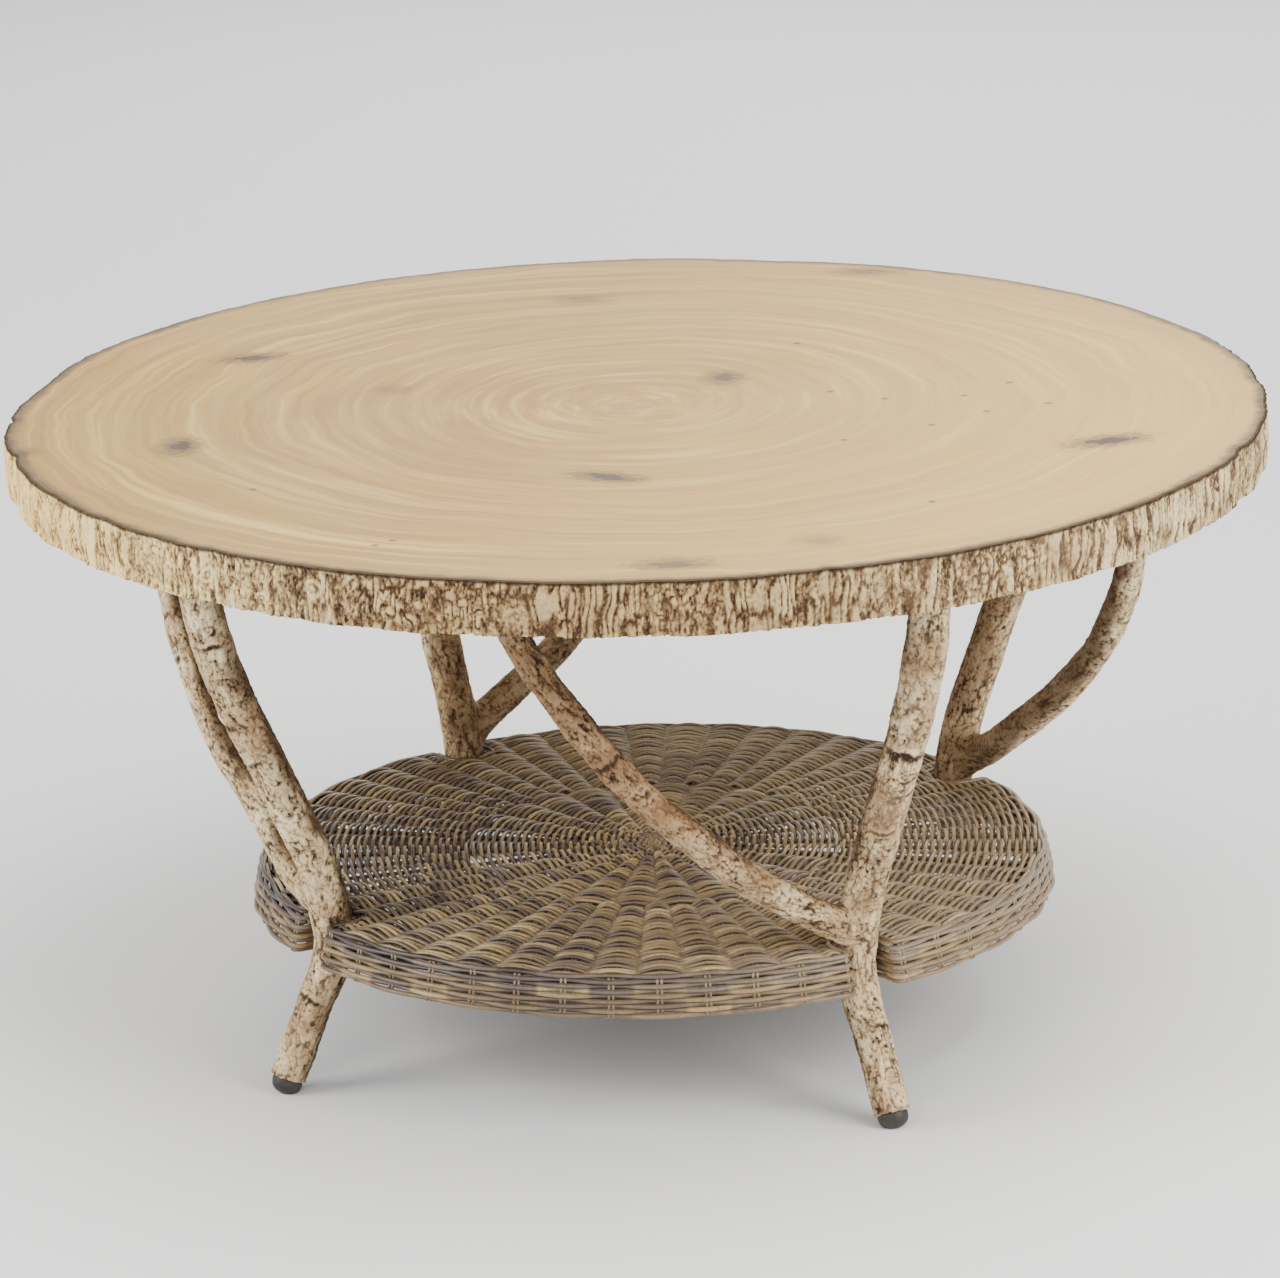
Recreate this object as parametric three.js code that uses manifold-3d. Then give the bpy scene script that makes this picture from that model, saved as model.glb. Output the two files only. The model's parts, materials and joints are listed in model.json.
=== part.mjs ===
// Round garden coffee table: a faux-wood top with a bark rim, four forked branch legs and a round
// wicker shelf woven over a metal frame.
// Lengths are millimetres. +Z is up and the origin is on the floor under the middle of the top.
import * as THREE from 'three';
import { mergeVertices } from 'three/addons/utils/BufferGeometryUtils.js';
import Module from 'manifold-3d';

const wasm = await Module();
wasm.setup();

// Gap kept between touching pieces.
const GAP = 0.3;

// Top
const TABLE_HEIGHT = 539;
const TOP_RADIUS = 533.5;
const RIM_HEIGHT = 46;
const RIM_INNER_RADIUS = 506;
const RIM_LIP = 5;
const RIM_SIDES = 96;
const BARK_DEPTH = 3.2;
const FACE_STANDS_PROUD = 1;
const PANEL_THICKNESS = 14;
const RING_THICKNESS = 6;
const RING_INNER_RADIUS = 400;
const RING_OUTER_RADIUS = 462;
const RING_SIDES = 48;

// Legs: each is drawn in its own radial plane, x outwards and y against the branch's sweep.
const LEG_COUNT = 4;
const FIRST_LEG_ANGLE = -45;
const LEG_NAMES = ['front_right', 'back_right', 'back_left', 'front_left'];
const STEM_FOOT_DIAMETER = 29;
const STEM_DIAMETER = 32.5;
const STEM_FULL_AT = 0.35;
const STEM_KNUCKLE = 0.5;
const STEM_STEPS = 24;
const STEM_SIDES = 12;
const BRANCH_FORK_DIAMETER = 31;
const BRANCH_TOP_DIAMETER = 24.5;
const BRANCH_KNUCKLE = 0.45;
const BRANCH_STEPS = 20;
const BRANCH_SIDES = 10;
const FOOT_X = 362.6;
const FOOT_Z = 19;
const FOOT_TILT = 25.3;

// Plates that join the branch tops to the ring
const PLATE_THICKNESS = 5;
const PLATE_RADIUS = 19;
const PLATE_EAR_REACH = 27;
const PLATE_EAR_RADIUS = 10;
const SCREW_RADIUS = 2.4;
const SCREW_HEAD_RADIUS = 5;
const SCREW_HEAD_HEIGHT = 3;
const SCREW_TIP = 3;
const SCREW_GRIP = 8;
const SCREW_SIDES = 8;

// Glides
const GLIDE_RADIUS = 13.5;
const GLIDE_LENGTH = 20.5;
const GLIDE_PLUG_RADIUS = 8;
const GLIDE_PLUG_LENGTH = 18;
const GLIDE_SIDES = 16;

// Shelf
const SHELF_TOP = 151;
const SHELF_BOTTOM = 112;
const SHELF_RADIUS = 335;
const SHELF_WEAVE_THICKNESS = 7.5;
const BAND_RADIUS = 338;
const BAND_SPREAD = 7;
const BAND_THICKNESS = 6;
const HOOP_WIDTH = 8;
const HOOP_HEIGHT = 10;
const LOWER_HOOP_BOTTOM = 115;
const NOTCH_HALF_WIDTH = 22;
const NOTCH_END = 288;
const NOTCH_CORNER = 15;
const RIB_WIDTH = 20;
const RIB_HEIGHT = 8;
const HUB_RADIUS = 42;
const HUB_SIDES = 32;
const BRACKET_WIDTH = 18;
const BRACKET_HEIGHT = 10;
const BRACKET_END = 316;
const BOLT_RADIUS = 3;
const BOLT_HEAD_RADIUS = 4.8;
const BOLT_HEAD_HEIGHT = 4;
const BOLT_END = 306;
const BOLT_SIDES = 10;

// Levels that follow from the sizes above
const PANEL_BOTTOM = TABLE_HEIGHT - PANEL_THICKNESS;
const RIM_BOTTOM = TABLE_HEIGHT - RIM_HEIGHT;
const RING_BOTTOM = PANEL_BOTTOM - GAP - RING_THICKNESS;
const PLATE_BOTTOM = RING_BOTTOM - GAP - PLATE_THICKNESS;
const BRANCH_END = PLATE_BOTTOM - GAP;
const WEAVE_BOTTOM = SHELF_TOP - SHELF_WEAVE_THICKNESS;
const HOOP_TOP = WEAVE_BOTTOM - GAP;
const BRACKET_MIDDLE = HOOP_TOP - HOOP_HEIGHT / 2;
const HOOP_NOTCH_FACE = NOTCH_END - BAND_THICKNESS - GAP;
const HOOP_BACK = HOOP_NOTCH_FACE - HOOP_WIDTH - GAP;

const radians = THREE.MathUtils.degToRad;
const leg_angles = LEG_NAMES.map((_, i) => radians(FIRST_LEG_ANGLE + (i * 360) / LEG_COUNT));

// Materials
function material(name, color, roughness, metalness = 0) {
  return new THREE.MeshStandardMaterial({ name, color, roughness, metalness });
}
const face_wood = () => material('face_wood', '#cbb79a', 0.55);
const bark = () => material('bark', '#a99878', 0.8);
const branch_bark = () => material('branch_bark', '#bfae8c', 0.75);
const wicker = () => material('wicker', '#8f7d62', 0.6);
const frame_metal = () => material('frame_metal', '#5d5245', 0.5, 0.7);
const screw_metal = () => material('screw_metal', '#b9b9b4', 0.3, 0.9);
const glide_plastic = () => material('glide_plastic', '#3c3b39', 0.6);

// Solid tools: a geometry becomes a manifold solid, is cut, and comes back as a geometry.
function solid(geometry) {
  const bare = geometry.clone();
  bare.deleteAttribute('normal');
  bare.deleteAttribute('uv');
  const merged = mergeVertices(bare, 1e-4);
  const vertProperties = new Float32Array(merged.attributes.position.array);
  const triVerts = new Uint32Array(merged.index.array);
  return new wasm.Manifold(new wasm.Mesh({ numProp: 3, vertProperties, triVerts }));
}

function cut(geometry, ...tools) {
  const left = tools.reduce((body, tool) => body.subtract(solid(tool)), solid(geometry));
  const mesh = left.getMesh();
  const result = new THREE.BufferGeometry();
  result.setAttribute('position', new THREE.BufferAttribute(mesh.vertProperties, 3));
  result.setIndex(new THREE.BufferAttribute(mesh.triVerts, 1));
  result.computeVertexNormals();
  return result;
}

function circlePoints(radius, sides, x = 0, y = 0) {
  return Array.from({ length: sides }, (_, i) => {
    const angle = (i / sides) * Math.PI * 2;
    return new THREE.Vector2(x + radius * Math.cos(angle), y + radius * Math.sin(angle));
  });
}

// A flat outline raised from bottom to bottom + height.
function slab(shape, bottom, height, curveSegments = 6) {
  const body = new THREE.ExtrudeGeometry(shape, { depth: height, bevelEnabled: false, curveSegments });
  return body.translate(0, 0, bottom);
}

function disc(radius, sides, bottom, height, x = 0, y = 0) {
  return slab(new THREE.Shape(circlePoints(radius, sides, x, y)), bottom, height);
}

function box(x0, x1, y0, y1, z0, z1) {
  const body = new THREE.BoxGeometry(x1 - x0, y1 - y0, z1 - z0);
  return body.translate((x0 + x1) / 2, (y0 + y1) / 2, (z0 + z1) / 2);
}

// The hole for a bracket's bolt, along x.
function boltBore(x0, x1) {
  const radius = BOLT_RADIUS + GAP;
  const body = new THREE.CylinderGeometry(radius, radius, x1 - x0, BOLT_SIDES);
  return body.rotateZ(Math.PI / 2).translate((x0 + x1) / 2, 0, BRACKET_MIDDLE);
}

// The hole for a plate's screw, along z.
function screwBore(bottom, height, place) {
  return disc(SCREW_RADIUS + GAP, SCREW_SIDES, bottom, height, place.x, place.y);
}

const PAST = 5;
const REACH = 2 * TOP_RADIUS;
const above_branches = box(-REACH, REACH, -REACH, REACH, BRANCH_END, BRANCH_END + REACH);
const below_floor = box(-REACH, REACH, -REACH, REACH, -REACH, 0);

// Top outline. Only even waves are used, so opposite edges match and the top stays centred.
function barkWave(angle) {
  const broad = 0.45 * Math.sin(4 * angle + 0.6) + 0.3 * Math.sin(10 * angle + 2.1);
  const fine = 0.25 * Math.sin(22 * angle + 4);
  return ((broad + fine - 1) * BARK_DEPTH) / 2;
}

function topOutline(inset) {
  const points = Array.from({ length: RIM_SIDES }, (_, i) => {
    const angle = (i / RIM_SIDES) * Math.PI * 2;
    const radius = TOP_RADIUS + barkWave(angle) - inset;
    return new THREE.Vector2(radius * Math.cos(angle), radius * Math.sin(angle));
  });
  return new THREE.Shape(points);
}

// Branch tubes: a round section follows a curve, then swells or thins to radiusAt(t).
function branchTube(curve, radiusAt, steps, sides) {
  const section = new THREE.Shape(circlePoints(1, sides));
  const tube = new THREE.ExtrudeGeometry(section, { steps, extrudePath: curve, bevelEnabled: false });
  const centres = curve.getSpacedPoints(steps);
  const position = tube.attributes.position;
  const corner = new THREE.Vector3();
  for (let i = 0; i < position.count; i++) {
    corner.fromBufferAttribute(position, i);
    const distances = centres.map((centre) => centre.distanceToSquared(corner));
    const nearest = distances.indexOf(Math.min(...distances));
    corner.sub(centres[nearest]).multiplyScalar(radiusAt(nearest / steps)).add(centres[nearest]);
    position.setXYZ(i, corner.x, corner.y, corner.z);
  }
  return tube;
}

// The stem rises from the foot, bends inwards at the shelf and leans out to the top.
const stem_curve = new THREE.CatmullRomCurve3(
  [
    [FOOT_X, 0, FOOT_Z],
    [338, 0, 73],
    [316, 0, 121],
    [319, 0, 155],
    [332, 0, 200],
    [367, 0, 281],
    [414, 0, 389],
    [433, 0, 470],
    [439, 0, PLATE_BOTTOM + PLATE_THICKNESS],
  ].map((point) => new THREE.Vector3(...point)),
);

function stemRadius(t) {
  const widening = THREE.MathUtils.smoothstep(t, 0, STEM_FULL_AT);
  const knuckle = STEM_KNUCKLE * Math.sin(t * 23);
  return THREE.MathUtils.lerp(STEM_FOOT_DIAMETER, STEM_DIAMETER, widening) / 2 + knuckle;
}

const stemTube = (extra = 0) =>
  branchTube(stem_curve, (t) => stemRadius(t) + extra, STEM_STEPS, STEM_SIDES);

// The branch leaves the stem just above the shelf and climbs clockwise, seen from above.
// Each point is its distance from the table's axis, its angle from the stem and its height.
const branch_curve = new THREE.CatmullRomCurve3(
  [
    [321, 0, 157],
    [332, -7, 179],
    [343, -18, 223],
    [365, -24.5, 261],
    [394, -33.7, 325],
    [416, -41, 402],
    [423, -46.7, 470],
    [425, -48.6, PLATE_BOTTOM + PLATE_THICKNESS],
  ].map(([reach, turn, height]) => {
    const angle = radians(turn);
    return new THREE.Vector3(reach * Math.cos(angle), reach * Math.sin(angle), height);
  }),
);

function branchRadius(t) {
  const knuckle = BRANCH_KNUCKLE * Math.sin(t * 19 + 1);
  return THREE.MathUtils.lerp(BRANCH_FORK_DIAMETER, BRANCH_TOP_DIAMETER, t) / 2 + knuckle;
}

// Where each curve crosses the plates' level, as the middle of its plate
function topPoint(curve) {
  const samples = curve.getSpacedPoints(200);
  return samples.find((point) => point.z >= BRANCH_END);
}
const stem_top = topPoint(stem_curve);
const branch_top = topPoint(branch_curve);

// The screw goes through an ear that points at the table's axis.
function screwPlace(top) {
  const reach = Math.hypot(top.x, top.y);
  return new THREE.Vector2(top.x, top.y).multiplyScalar((reach - PLATE_EAR_REACH) / reach);
}

// The shelf's outline: a circle with a round-ended slot for each leg. A larger inset gives the
// outline of a layer further inside the wicker.
function shelfOutline(radius, inset = 0) {
  const outline = new THREE.Path();
  const outer = radius - inset;
  const half = NOTCH_HALF_WIDTH + inset;
  const end = NOTCH_END - inset;
  const corner_angle = Math.asin((half + NOTCH_CORNER) / outer);
  const edge = Math.sqrt(outer * outer - half * half);
  const at = (angle, x, y) => [
    x * Math.cos(angle) - y * Math.sin(angle),
    x * Math.sin(angle) + y * Math.cos(angle),
  ];
  leg_angles.forEach((angle, i) => {
    const arrive = at(angle, outer * Math.cos(corner_angle), -outer * Math.sin(corner_angle));
    if (i === 0) outline.moveTo(...arrive);
    outline.quadraticCurveTo(...at(angle, edge, -half), ...at(angle, edge - NOTCH_CORNER, -half));
    const [x, y] = at(angle, end + half, 0);
    outline.absarc(x, y, half, angle - Math.PI / 2, angle - Math.PI * 1.5, true);
    outline.lineTo(...at(angle, edge - NOTCH_CORNER, half));
    const leave = at(angle, outer * Math.cos(corner_angle), outer * Math.sin(corner_angle));
    outline.quadraticCurveTo(...at(angle, edge, half), ...leave);
    const next = angle + (Math.PI * 2) / LEG_COUNT;
    outline.absarc(0, 0, outer, angle + corner_angle, next - corner_angle, false);
  });
  return outline;
}

// Points along the outline: more on the long arcs between the legs than in the notches.
const NOTCH_SEGMENTS = 6;
const EDGE_SEGMENTS = 10;
const CORNER_SEGMENTS = 3;
function outlinePoints(path) {
  return path.curves.flatMap((curve) => {
    let segments = 1;
    if (curve.isQuadraticBezierCurve) segments = CORNER_SEGMENTS;
    if (curve.isEllipseCurve) segments = curve.xRadius > NOTCH_END / 2 ? EDGE_SEGMENTS : NOTCH_SEGMENTS;
    return curve.getPoints(segments).slice(0, -1);
  });
}

// A band that follows the shelf's outline, inset from it and width thick.
function shelfBand(radius, inset, width, bottom, height) {
  const shape = new THREE.Shape(outlinePoints(shelfOutline(radius, inset)));
  shape.holes.push(new THREE.Path(outlinePoints(shelfOutline(radius, inset + width))));
  return slab(shape, bottom, height);
}

// Spreads a band outwards towards its lower edge.
function spreadDown(geometry, top, bottom, spread) {
  const position = geometry.attributes.position;
  for (let i = 0; i < position.count; i++) {
    const down = (top - position.getZ(i)) / (top - bottom);
    const scale = 1 + (down * spread) / BAND_RADIUS;
    position.setX(i, position.getX(i) * scale);
    position.setY(i, position.getY(i) * scale);
  }
  return geometry;
}

// Legs -------------------------------------------------------------------------------------------

const foot_axis = new THREE.Vector3(Math.sin(radians(FOOT_TILT)), 0, -Math.cos(radians(FOOT_TILT)));
const foot_turn = new THREE.Quaternion().setFromUnitVectors(new THREE.Vector3(0, 1, 0), foot_axis);

// A turned piece on the foot's axis: y is the distance below the stem's end.
function onFoot(profile) {
  const points = profile.map(([x, y]) => new THREE.Vector2(x, y));
  const body = new THREE.LatheGeometry(points, GLIDE_SIDES);
  return body.applyQuaternion(foot_turn).translate(FOOT_X, 0, FOOT_Z);
}

function glideBore() {
  const depth = GLIDE_PLUG_LENGTH + 1;
  const radius = GLIDE_PLUG_RADIUS + GAP;
  return onFoot([[0, -depth], [radius, -depth], [radius, PAST], [0, PAST]]);
}

function legStem() {
  return cut(stemTube(), above_branches, glideBore(), boltBore(NOTCH_END, BOLT_END + 1));
}

function legBranch() {
  const tube = branchTube(branch_curve, branchRadius, BRANCH_STEPS, BRANCH_SIDES);
  return cut(tube, stemTube(GAP), above_branches);
}

// Domed glide with a plug that pushes into the stem. Its sole is flat on the floor.
function glide() {
  const body = onFoot([
    [0, -GLIDE_PLUG_LENGTH],
    [GLIDE_PLUG_RADIUS, -GLIDE_PLUG_LENGTH],
    [GLIDE_PLUG_RADIUS, GAP],
    [GLIDE_RADIUS, GAP],
    [GLIDE_RADIUS, GLIDE_LENGTH * 0.55],
    [GLIDE_RADIUS * 0.88, GLIDE_LENGTH * 0.82],
    [GLIDE_RADIUS * 0.55, GLIDE_LENGTH],
    [0, GLIDE_LENGTH * 1.07],
  ]);
  return cut(body, below_floor);
}

// A round plate on a branch's end, with one screw ear.
function plate(top) {
  const ear = screwPlace(top);
  const inward = Math.atan2(-top.y, -top.x);
  const lean = Math.acos((PLATE_RADIUS - PLATE_EAR_RADIUS) / PLATE_EAR_REACH);
  const shape = new THREE.Shape();
  shape.absarc(top.x, top.y, PLATE_RADIUS, inward + lean, inward - lean + Math.PI * 2, false);
  shape.absarc(ear.x, ear.y, PLATE_EAR_RADIUS, inward - lean, inward + lean, false);
  const body = slab(new THREE.Shape(shape.getPoints(6).slice(0, -1)), PLATE_BOTTOM, PLATE_THICKNESS);
  return cut(body, screwBore(PLATE_BOTTOM - PAST, PLATE_THICKNESS + 2 * PAST, ear));
}

// Pan-head screw, driven up through the plate and the ring into the panel.
function plateScrew() {
  const seat = PLATE_BOTTOM - GAP;
  const tip = PANEL_BOTTOM + SCREW_GRIP;
  const profile = [
    [0, seat - SCREW_HEAD_HEIGHT],
    [SCREW_HEAD_RADIUS * 0.7, seat - SCREW_HEAD_HEIGHT],
    [SCREW_HEAD_RADIUS, seat - SCREW_HEAD_HEIGHT * 0.4],
    [SCREW_HEAD_RADIUS, seat],
    [SCREW_RADIUS, seat],
    [SCREW_RADIUS, tip - SCREW_TIP],
    [0, tip],
  ].map(([x, y]) => new THREE.Vector2(x, y));
  return new THREE.LatheGeometry(profile, SCREW_SIDES).rotateX(Math.PI / 2);
}

// Shelf brackets: a block from the hoop, through the wicker, to the stem, which trims its end.
const bracketBlock = (extra = 0) =>
  box(
    HOOP_NOTCH_FACE + GAP - extra,
    BRACKET_END,
    -BRACKET_WIDTH / 2 - extra,
    BRACKET_WIDTH / 2 + extra,
    BRACKET_MIDDLE - BRACKET_HEIGHT / 2 - extra,
    BRACKET_MIDDLE + BRACKET_HEIGHT / 2 + extra,
  );

function legBracket() {
  return cut(bracketBlock(), stemTube(GAP), boltBore(HOOP_BACK, BOLT_END));
}

function bracketBolt() {
  const profile = [
    [0, -BOLT_HEAD_HEIGHT],
    [BOLT_HEAD_RADIUS * 0.6, -BOLT_HEAD_HEIGHT],
    [BOLT_HEAD_RADIUS, -BOLT_HEAD_HEIGHT * 0.35],
    [BOLT_HEAD_RADIUS, 0],
    [BOLT_RADIUS, 0],
    [BOLT_RADIUS, BOLT_END - HOOP_BACK],
    [0, BOLT_END - HOOP_BACK],
  ].map(([x, y]) => new THREE.Vector2(x, y));
  return new THREE.LatheGeometry(profile, BOLT_SIDES).rotateZ(-Math.PI / 2);
}

// Top --------------------------------------------------------------------------------------------

// Places of all plate screws, in the table's frame
const screw_places = leg_angles.flatMap((angle) =>
  [stem_top, branch_top].map((top) => screwPlace(top).rotateAround(new THREE.Vector2(), angle)),
);
const screwBores = (bottom, height) =>
  screw_places.map((place) => screwBore(bottom, height, place));

function topPanel() {
  const body = slab(topOutline(RIM_LIP), PANEL_BOTTOM, PANEL_THICKNESS);
  return cut(body, ...screwBores(PANEL_BOTTOM - PAST, PAST + SCREW_GRIP + 1));
}

// The rim is a ring with a ledge that the panel drops on to.
function barkRim() {
  const shape = topOutline(0);
  shape.holes.push(new THREE.Path(circlePoints(RIM_INNER_RADIUS, RING_SIDES)));
  const body = slab(shape, RIM_BOTTOM, RIM_HEIGHT - FACE_STANDS_PROUD);
  return cut(body, slab(topOutline(RIM_LIP - GAP), PANEL_BOTTOM - GAP, PANEL_THICKNESS * 2));
}

function supportRing() {
  const shape = new THREE.Shape(circlePoints(RING_OUTER_RADIUS, RING_SIDES));
  shape.holes.push(new THREE.Path(circlePoints(RING_INNER_RADIUS, RING_SIDES)));
  const body = slab(shape, RING_BOTTOM, RING_THICKNESS);
  return cut(body, ...screwBores(RING_BOTTOM - PAST, RING_THICKNESS + 2 * PAST));
}

// Shelf ------------------------------------------------------------------------------------------

const aroundLegs = (geometry) => leg_angles.map((angle) => geometry.clone().rotateZ(angle));

function shelfWeave() {
  const shape = new THREE.Shape(outlinePoints(shelfOutline(SHELF_RADIUS)));
  return slab(shape, WEAVE_BOTTOM, SHELF_WEAVE_THICKNESS);
}

function shelfBandWeave() {
  const height = WEAVE_BOTTOM - GAP - SHELF_BOTTOM;
  const band = shelfBand(BAND_RADIUS, 0, BAND_THICKNESS, SHELF_BOTTOM, height);
  spreadDown(band, WEAVE_BOTTOM - GAP, SHELF_BOTTOM, BAND_SPREAD);
  return cut(band, ...aroundLegs(bracketBlock(GAP)));
}

// The hoops lie against the inside of the band.
const shelfHoop = (bottom, stand_back = 0) =>
  shelfBand(BAND_RADIUS, BAND_THICKNESS + GAP + stand_back, HOOP_WIDTH, bottom, HOOP_HEIGHT);

// The upper hoop has a bolt hole and a flat seat for each bracket.
function upperHoop() {
  const bore = boltBore(HOOP_BACK - PAST, BOLT_END);
  const hoop = shelfHoop(HOOP_TOP - HOOP_HEIGHT);
  return cut(hoop, ...aroundLegs(bore), ...aroundLegs(bracketBlock(GAP)));
}

// A flat bar from the hub's side to the inside of the upper hoop.
function shelfRib() {
  const hub_room = disc(HUB_RADIUS + 2 * GAP, HUB_SIDES, 0, TABLE_HEIGHT);
  const half = RIB_WIDTH / 2;
  const hoop_inside = BAND_RADIUS - BAND_THICKNESS - GAP - HOOP_WIDTH;
  const end = Math.sqrt(hoop_inside ** 2 - half ** 2) - 4 * GAP;
  const bar = box(HUB_RADIUS / 2, end, -half, half, HOOP_TOP - RIB_HEIGHT, HOOP_TOP);
  return cut(bar, hub_room);
}

// Assembly ---------------------------------------------------------------------------------------

const table = new THREE.Group();

function add(group, name, geometry, paint) {
  const mesh = new THREE.Mesh(geometry, paint);
  mesh.name = name;
  group.add(mesh);
  return mesh;
}

add(table, 'top_panel', topPanel(), face_wood());
add(table, 'bark_rim', barkRim(), bark());
add(table, 'support_ring', supportRing(), frame_metal());

const shapes = {
  leg_stem: [legStem(), branch_bark],
  leg_branch: [legBranch(), branch_bark],
  stem_plate: [plate(stem_top), frame_metal],
  branch_plate: [plate(branch_top), frame_metal],
  glide: [glide(), glide_plastic],
  leg_bracket: [legBracket(), frame_metal],
};

LEG_NAMES.forEach((side, i) => {
  const leg = new THREE.Group();
  leg.rotation.z = leg_angles[i];
  for (const [name, [geometry, paint]] of Object.entries(shapes)) {
    add(leg, `${name}_${side}`, geometry, paint());
  }
  for (const [name, top] of [['stem_plate_screw', stem_top], ['branch_plate_screw', branch_top]]) {
    const place = screwPlace(top);
    add(leg, `${name}_${side}`, plateScrew(), screw_metal()).position.set(place.x, place.y, 0);
  }
  const bolt = add(leg, `bracket_bolt_${side}`, bracketBolt(), screw_metal());
  bolt.position.set(HOOP_BACK, 0, BRACKET_MIDDLE);
  table.add(leg);
});

add(table, 'shelf_weave', shelfWeave(), wicker());
add(table, 'shelf_band_weave', shelfBandWeave(), wicker());
add(table, 'shelf_upper_hoop', upperHoop(), frame_metal());
add(table, 'shelf_lower_hoop', shelfHoop(LOWER_HOOP_BOTTOM, 1), frame_metal());
add(table, 'shelf_hub', disc(HUB_RADIUS, HUB_SIDES, HOOP_TOP - RIB_HEIGHT, RIB_HEIGHT), frame_metal());
['right', 'back', 'left', 'front'].forEach((side, i) => {
  add(table, `shelf_rib_${side}`, shelfRib(), frame_metal()).rotation.z = (i * Math.PI) / 2;
});

export default table;
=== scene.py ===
import itertools
import json
import math

import bpy
import numpy as np
from mathutils import Matrix, Vector


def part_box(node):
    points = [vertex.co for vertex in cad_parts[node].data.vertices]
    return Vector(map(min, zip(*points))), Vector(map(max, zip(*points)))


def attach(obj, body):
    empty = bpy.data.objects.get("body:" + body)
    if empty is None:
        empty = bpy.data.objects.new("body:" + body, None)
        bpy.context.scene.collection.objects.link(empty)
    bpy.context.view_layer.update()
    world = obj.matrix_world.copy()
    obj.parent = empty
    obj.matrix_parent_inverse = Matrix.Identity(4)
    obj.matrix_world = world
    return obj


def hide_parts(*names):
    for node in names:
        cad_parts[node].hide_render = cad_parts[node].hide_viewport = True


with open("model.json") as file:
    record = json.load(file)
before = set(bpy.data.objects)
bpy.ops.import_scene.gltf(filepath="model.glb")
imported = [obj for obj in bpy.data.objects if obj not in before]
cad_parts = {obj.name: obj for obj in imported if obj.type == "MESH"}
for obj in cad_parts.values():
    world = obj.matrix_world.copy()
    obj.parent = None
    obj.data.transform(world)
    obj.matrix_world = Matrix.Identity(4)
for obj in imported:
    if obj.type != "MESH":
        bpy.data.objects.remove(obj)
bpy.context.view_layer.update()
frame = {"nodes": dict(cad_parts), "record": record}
nodes = frame["nodes"]
MM = 0.001

LEG_SIDES = ["front_right", "back_right", "back_left", "front_left"]
LEG_ANGLES = [math.radians(-45 + 90 * i) for i in range(4)]
UP = np.array([0, 0, 1.0])


def add_object(name, data):
    made = bpy.data.objects.new(name, data)
    bpy.context.scene.collection.objects.link(made)
    return made


# Camera ----------

# Where the camera stands, in metres and degrees round the table, and where it looks.
CAMERA_DISTANCE = 5.233
CAMERA_HEIGHT = 1.9195
CAMERA_AROUND = 13.2
CAMERA_HEADING = -13.25
CAMERA_DOWN = 16.88
CAMERA_ROLL = -1.59
CAMERA_LENS = 179.3


def make_camera():
    around, heading, down, roll = (
        math.radians(a) for a in (CAMERA_AROUND, CAMERA_HEADING, CAMERA_DOWN, CAMERA_ROLL)
    )
    data = bpy.data.cameras.new("camera")
    data.lens = CAMERA_LENS
    data.sensor_width = 36
    data.clip_end = 60
    camera = add_object("camera", data)
    forward = Vector(
        (math.sin(heading) * math.cos(down), math.cos(heading) * math.cos(down), -math.sin(down))
    )
    level = Vector((math.cos(heading), -math.sin(heading), 0))
    upright = level.cross(forward)
    right = math.cos(roll) * level + math.sin(roll) * upright
    up = right.cross(forward)
    turn = Matrix((right, up, -forward)).transposed()
    place = Vector(
        (math.sin(around) * CAMERA_DISTANCE, -math.cos(around) * CAMERA_DISTANCE, CAMERA_HEIGHT)
    )
    camera.matrix_world = Matrix.Translation(place) @ turn.to_4x4()
    bpy.context.scene.camera = camera


# Mesh tools ----------


def noise(points, seed=0):
    """Smooth value noise between -1 and 1 at each row of points, with a period of one unit."""
    cell = np.floor(points).astype(np.int64)
    part = points - cell
    blend = part * part * (3 - 2 * part)
    total = np.zeros(len(points))
    for corner in itertools.product((0, 1), repeat=3):
        x, y, z = (cell + corner).T
        h = (x * 374761393 + y * 668265263 + z * 1440662683 + seed * 1274126177) & 0xFFFFFFFF
        h = ((h ^ (h >> 13)) * 1274126177) & 0xFFFFFFFF
        value = ((h ^ (h >> 16)) & 0xFFFF) / 32767.5 - 1
        share = np.ones(len(points))
        for axis, far in enumerate(corner):
            share *= blend[:, axis] if far else 1 - blend[:, axis]
        total += share * value
    return total


def octaves(points, count, seed=0):
    """Noise with finer noise added to it."""
    return sum(noise(points * 2**i + 17.3 * i, seed + i) * 0.5**i for i in range(count))


def unit(rows):
    return rows / np.maximum(np.linalg.norm(rows, axis=-1, keepdims=True), 1e-12)


def lengths(path):
    """How far along the path each of its points is."""
    return np.concatenate([[0], np.cumsum(np.linalg.norm(np.diff(path, axis=0), axis=1))])


def ring_points(angle, radius, height=0.0):
    """Points round the table's axis."""
    return np.stack(np.broadcast_arrays(np.cos(angle) * radius, np.sin(angle) * radius, height), -1)


def full_turn(count):
    return np.arange(count) / count * 2 * np.pi


def turn_between(a, b):
    """The turn from b to a, in degrees from -180 to 180."""
    return (a - b + 180) % 360 - 180


def set_points(mesh, points):
    mesh.vertices.foreach_set("co", np.ascontiguousarray(points, np.float32).ravel())


def set_values(mesh, values):
    """Puts a value on each point of the mesh, for the materials to read."""
    for key, value in values.items():
        layer = mesh.attributes.new(key, "FLOAT", "POINT")
        layer.data.foreach_set("value", np.ascontiguousarray(value, np.float32))


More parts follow.
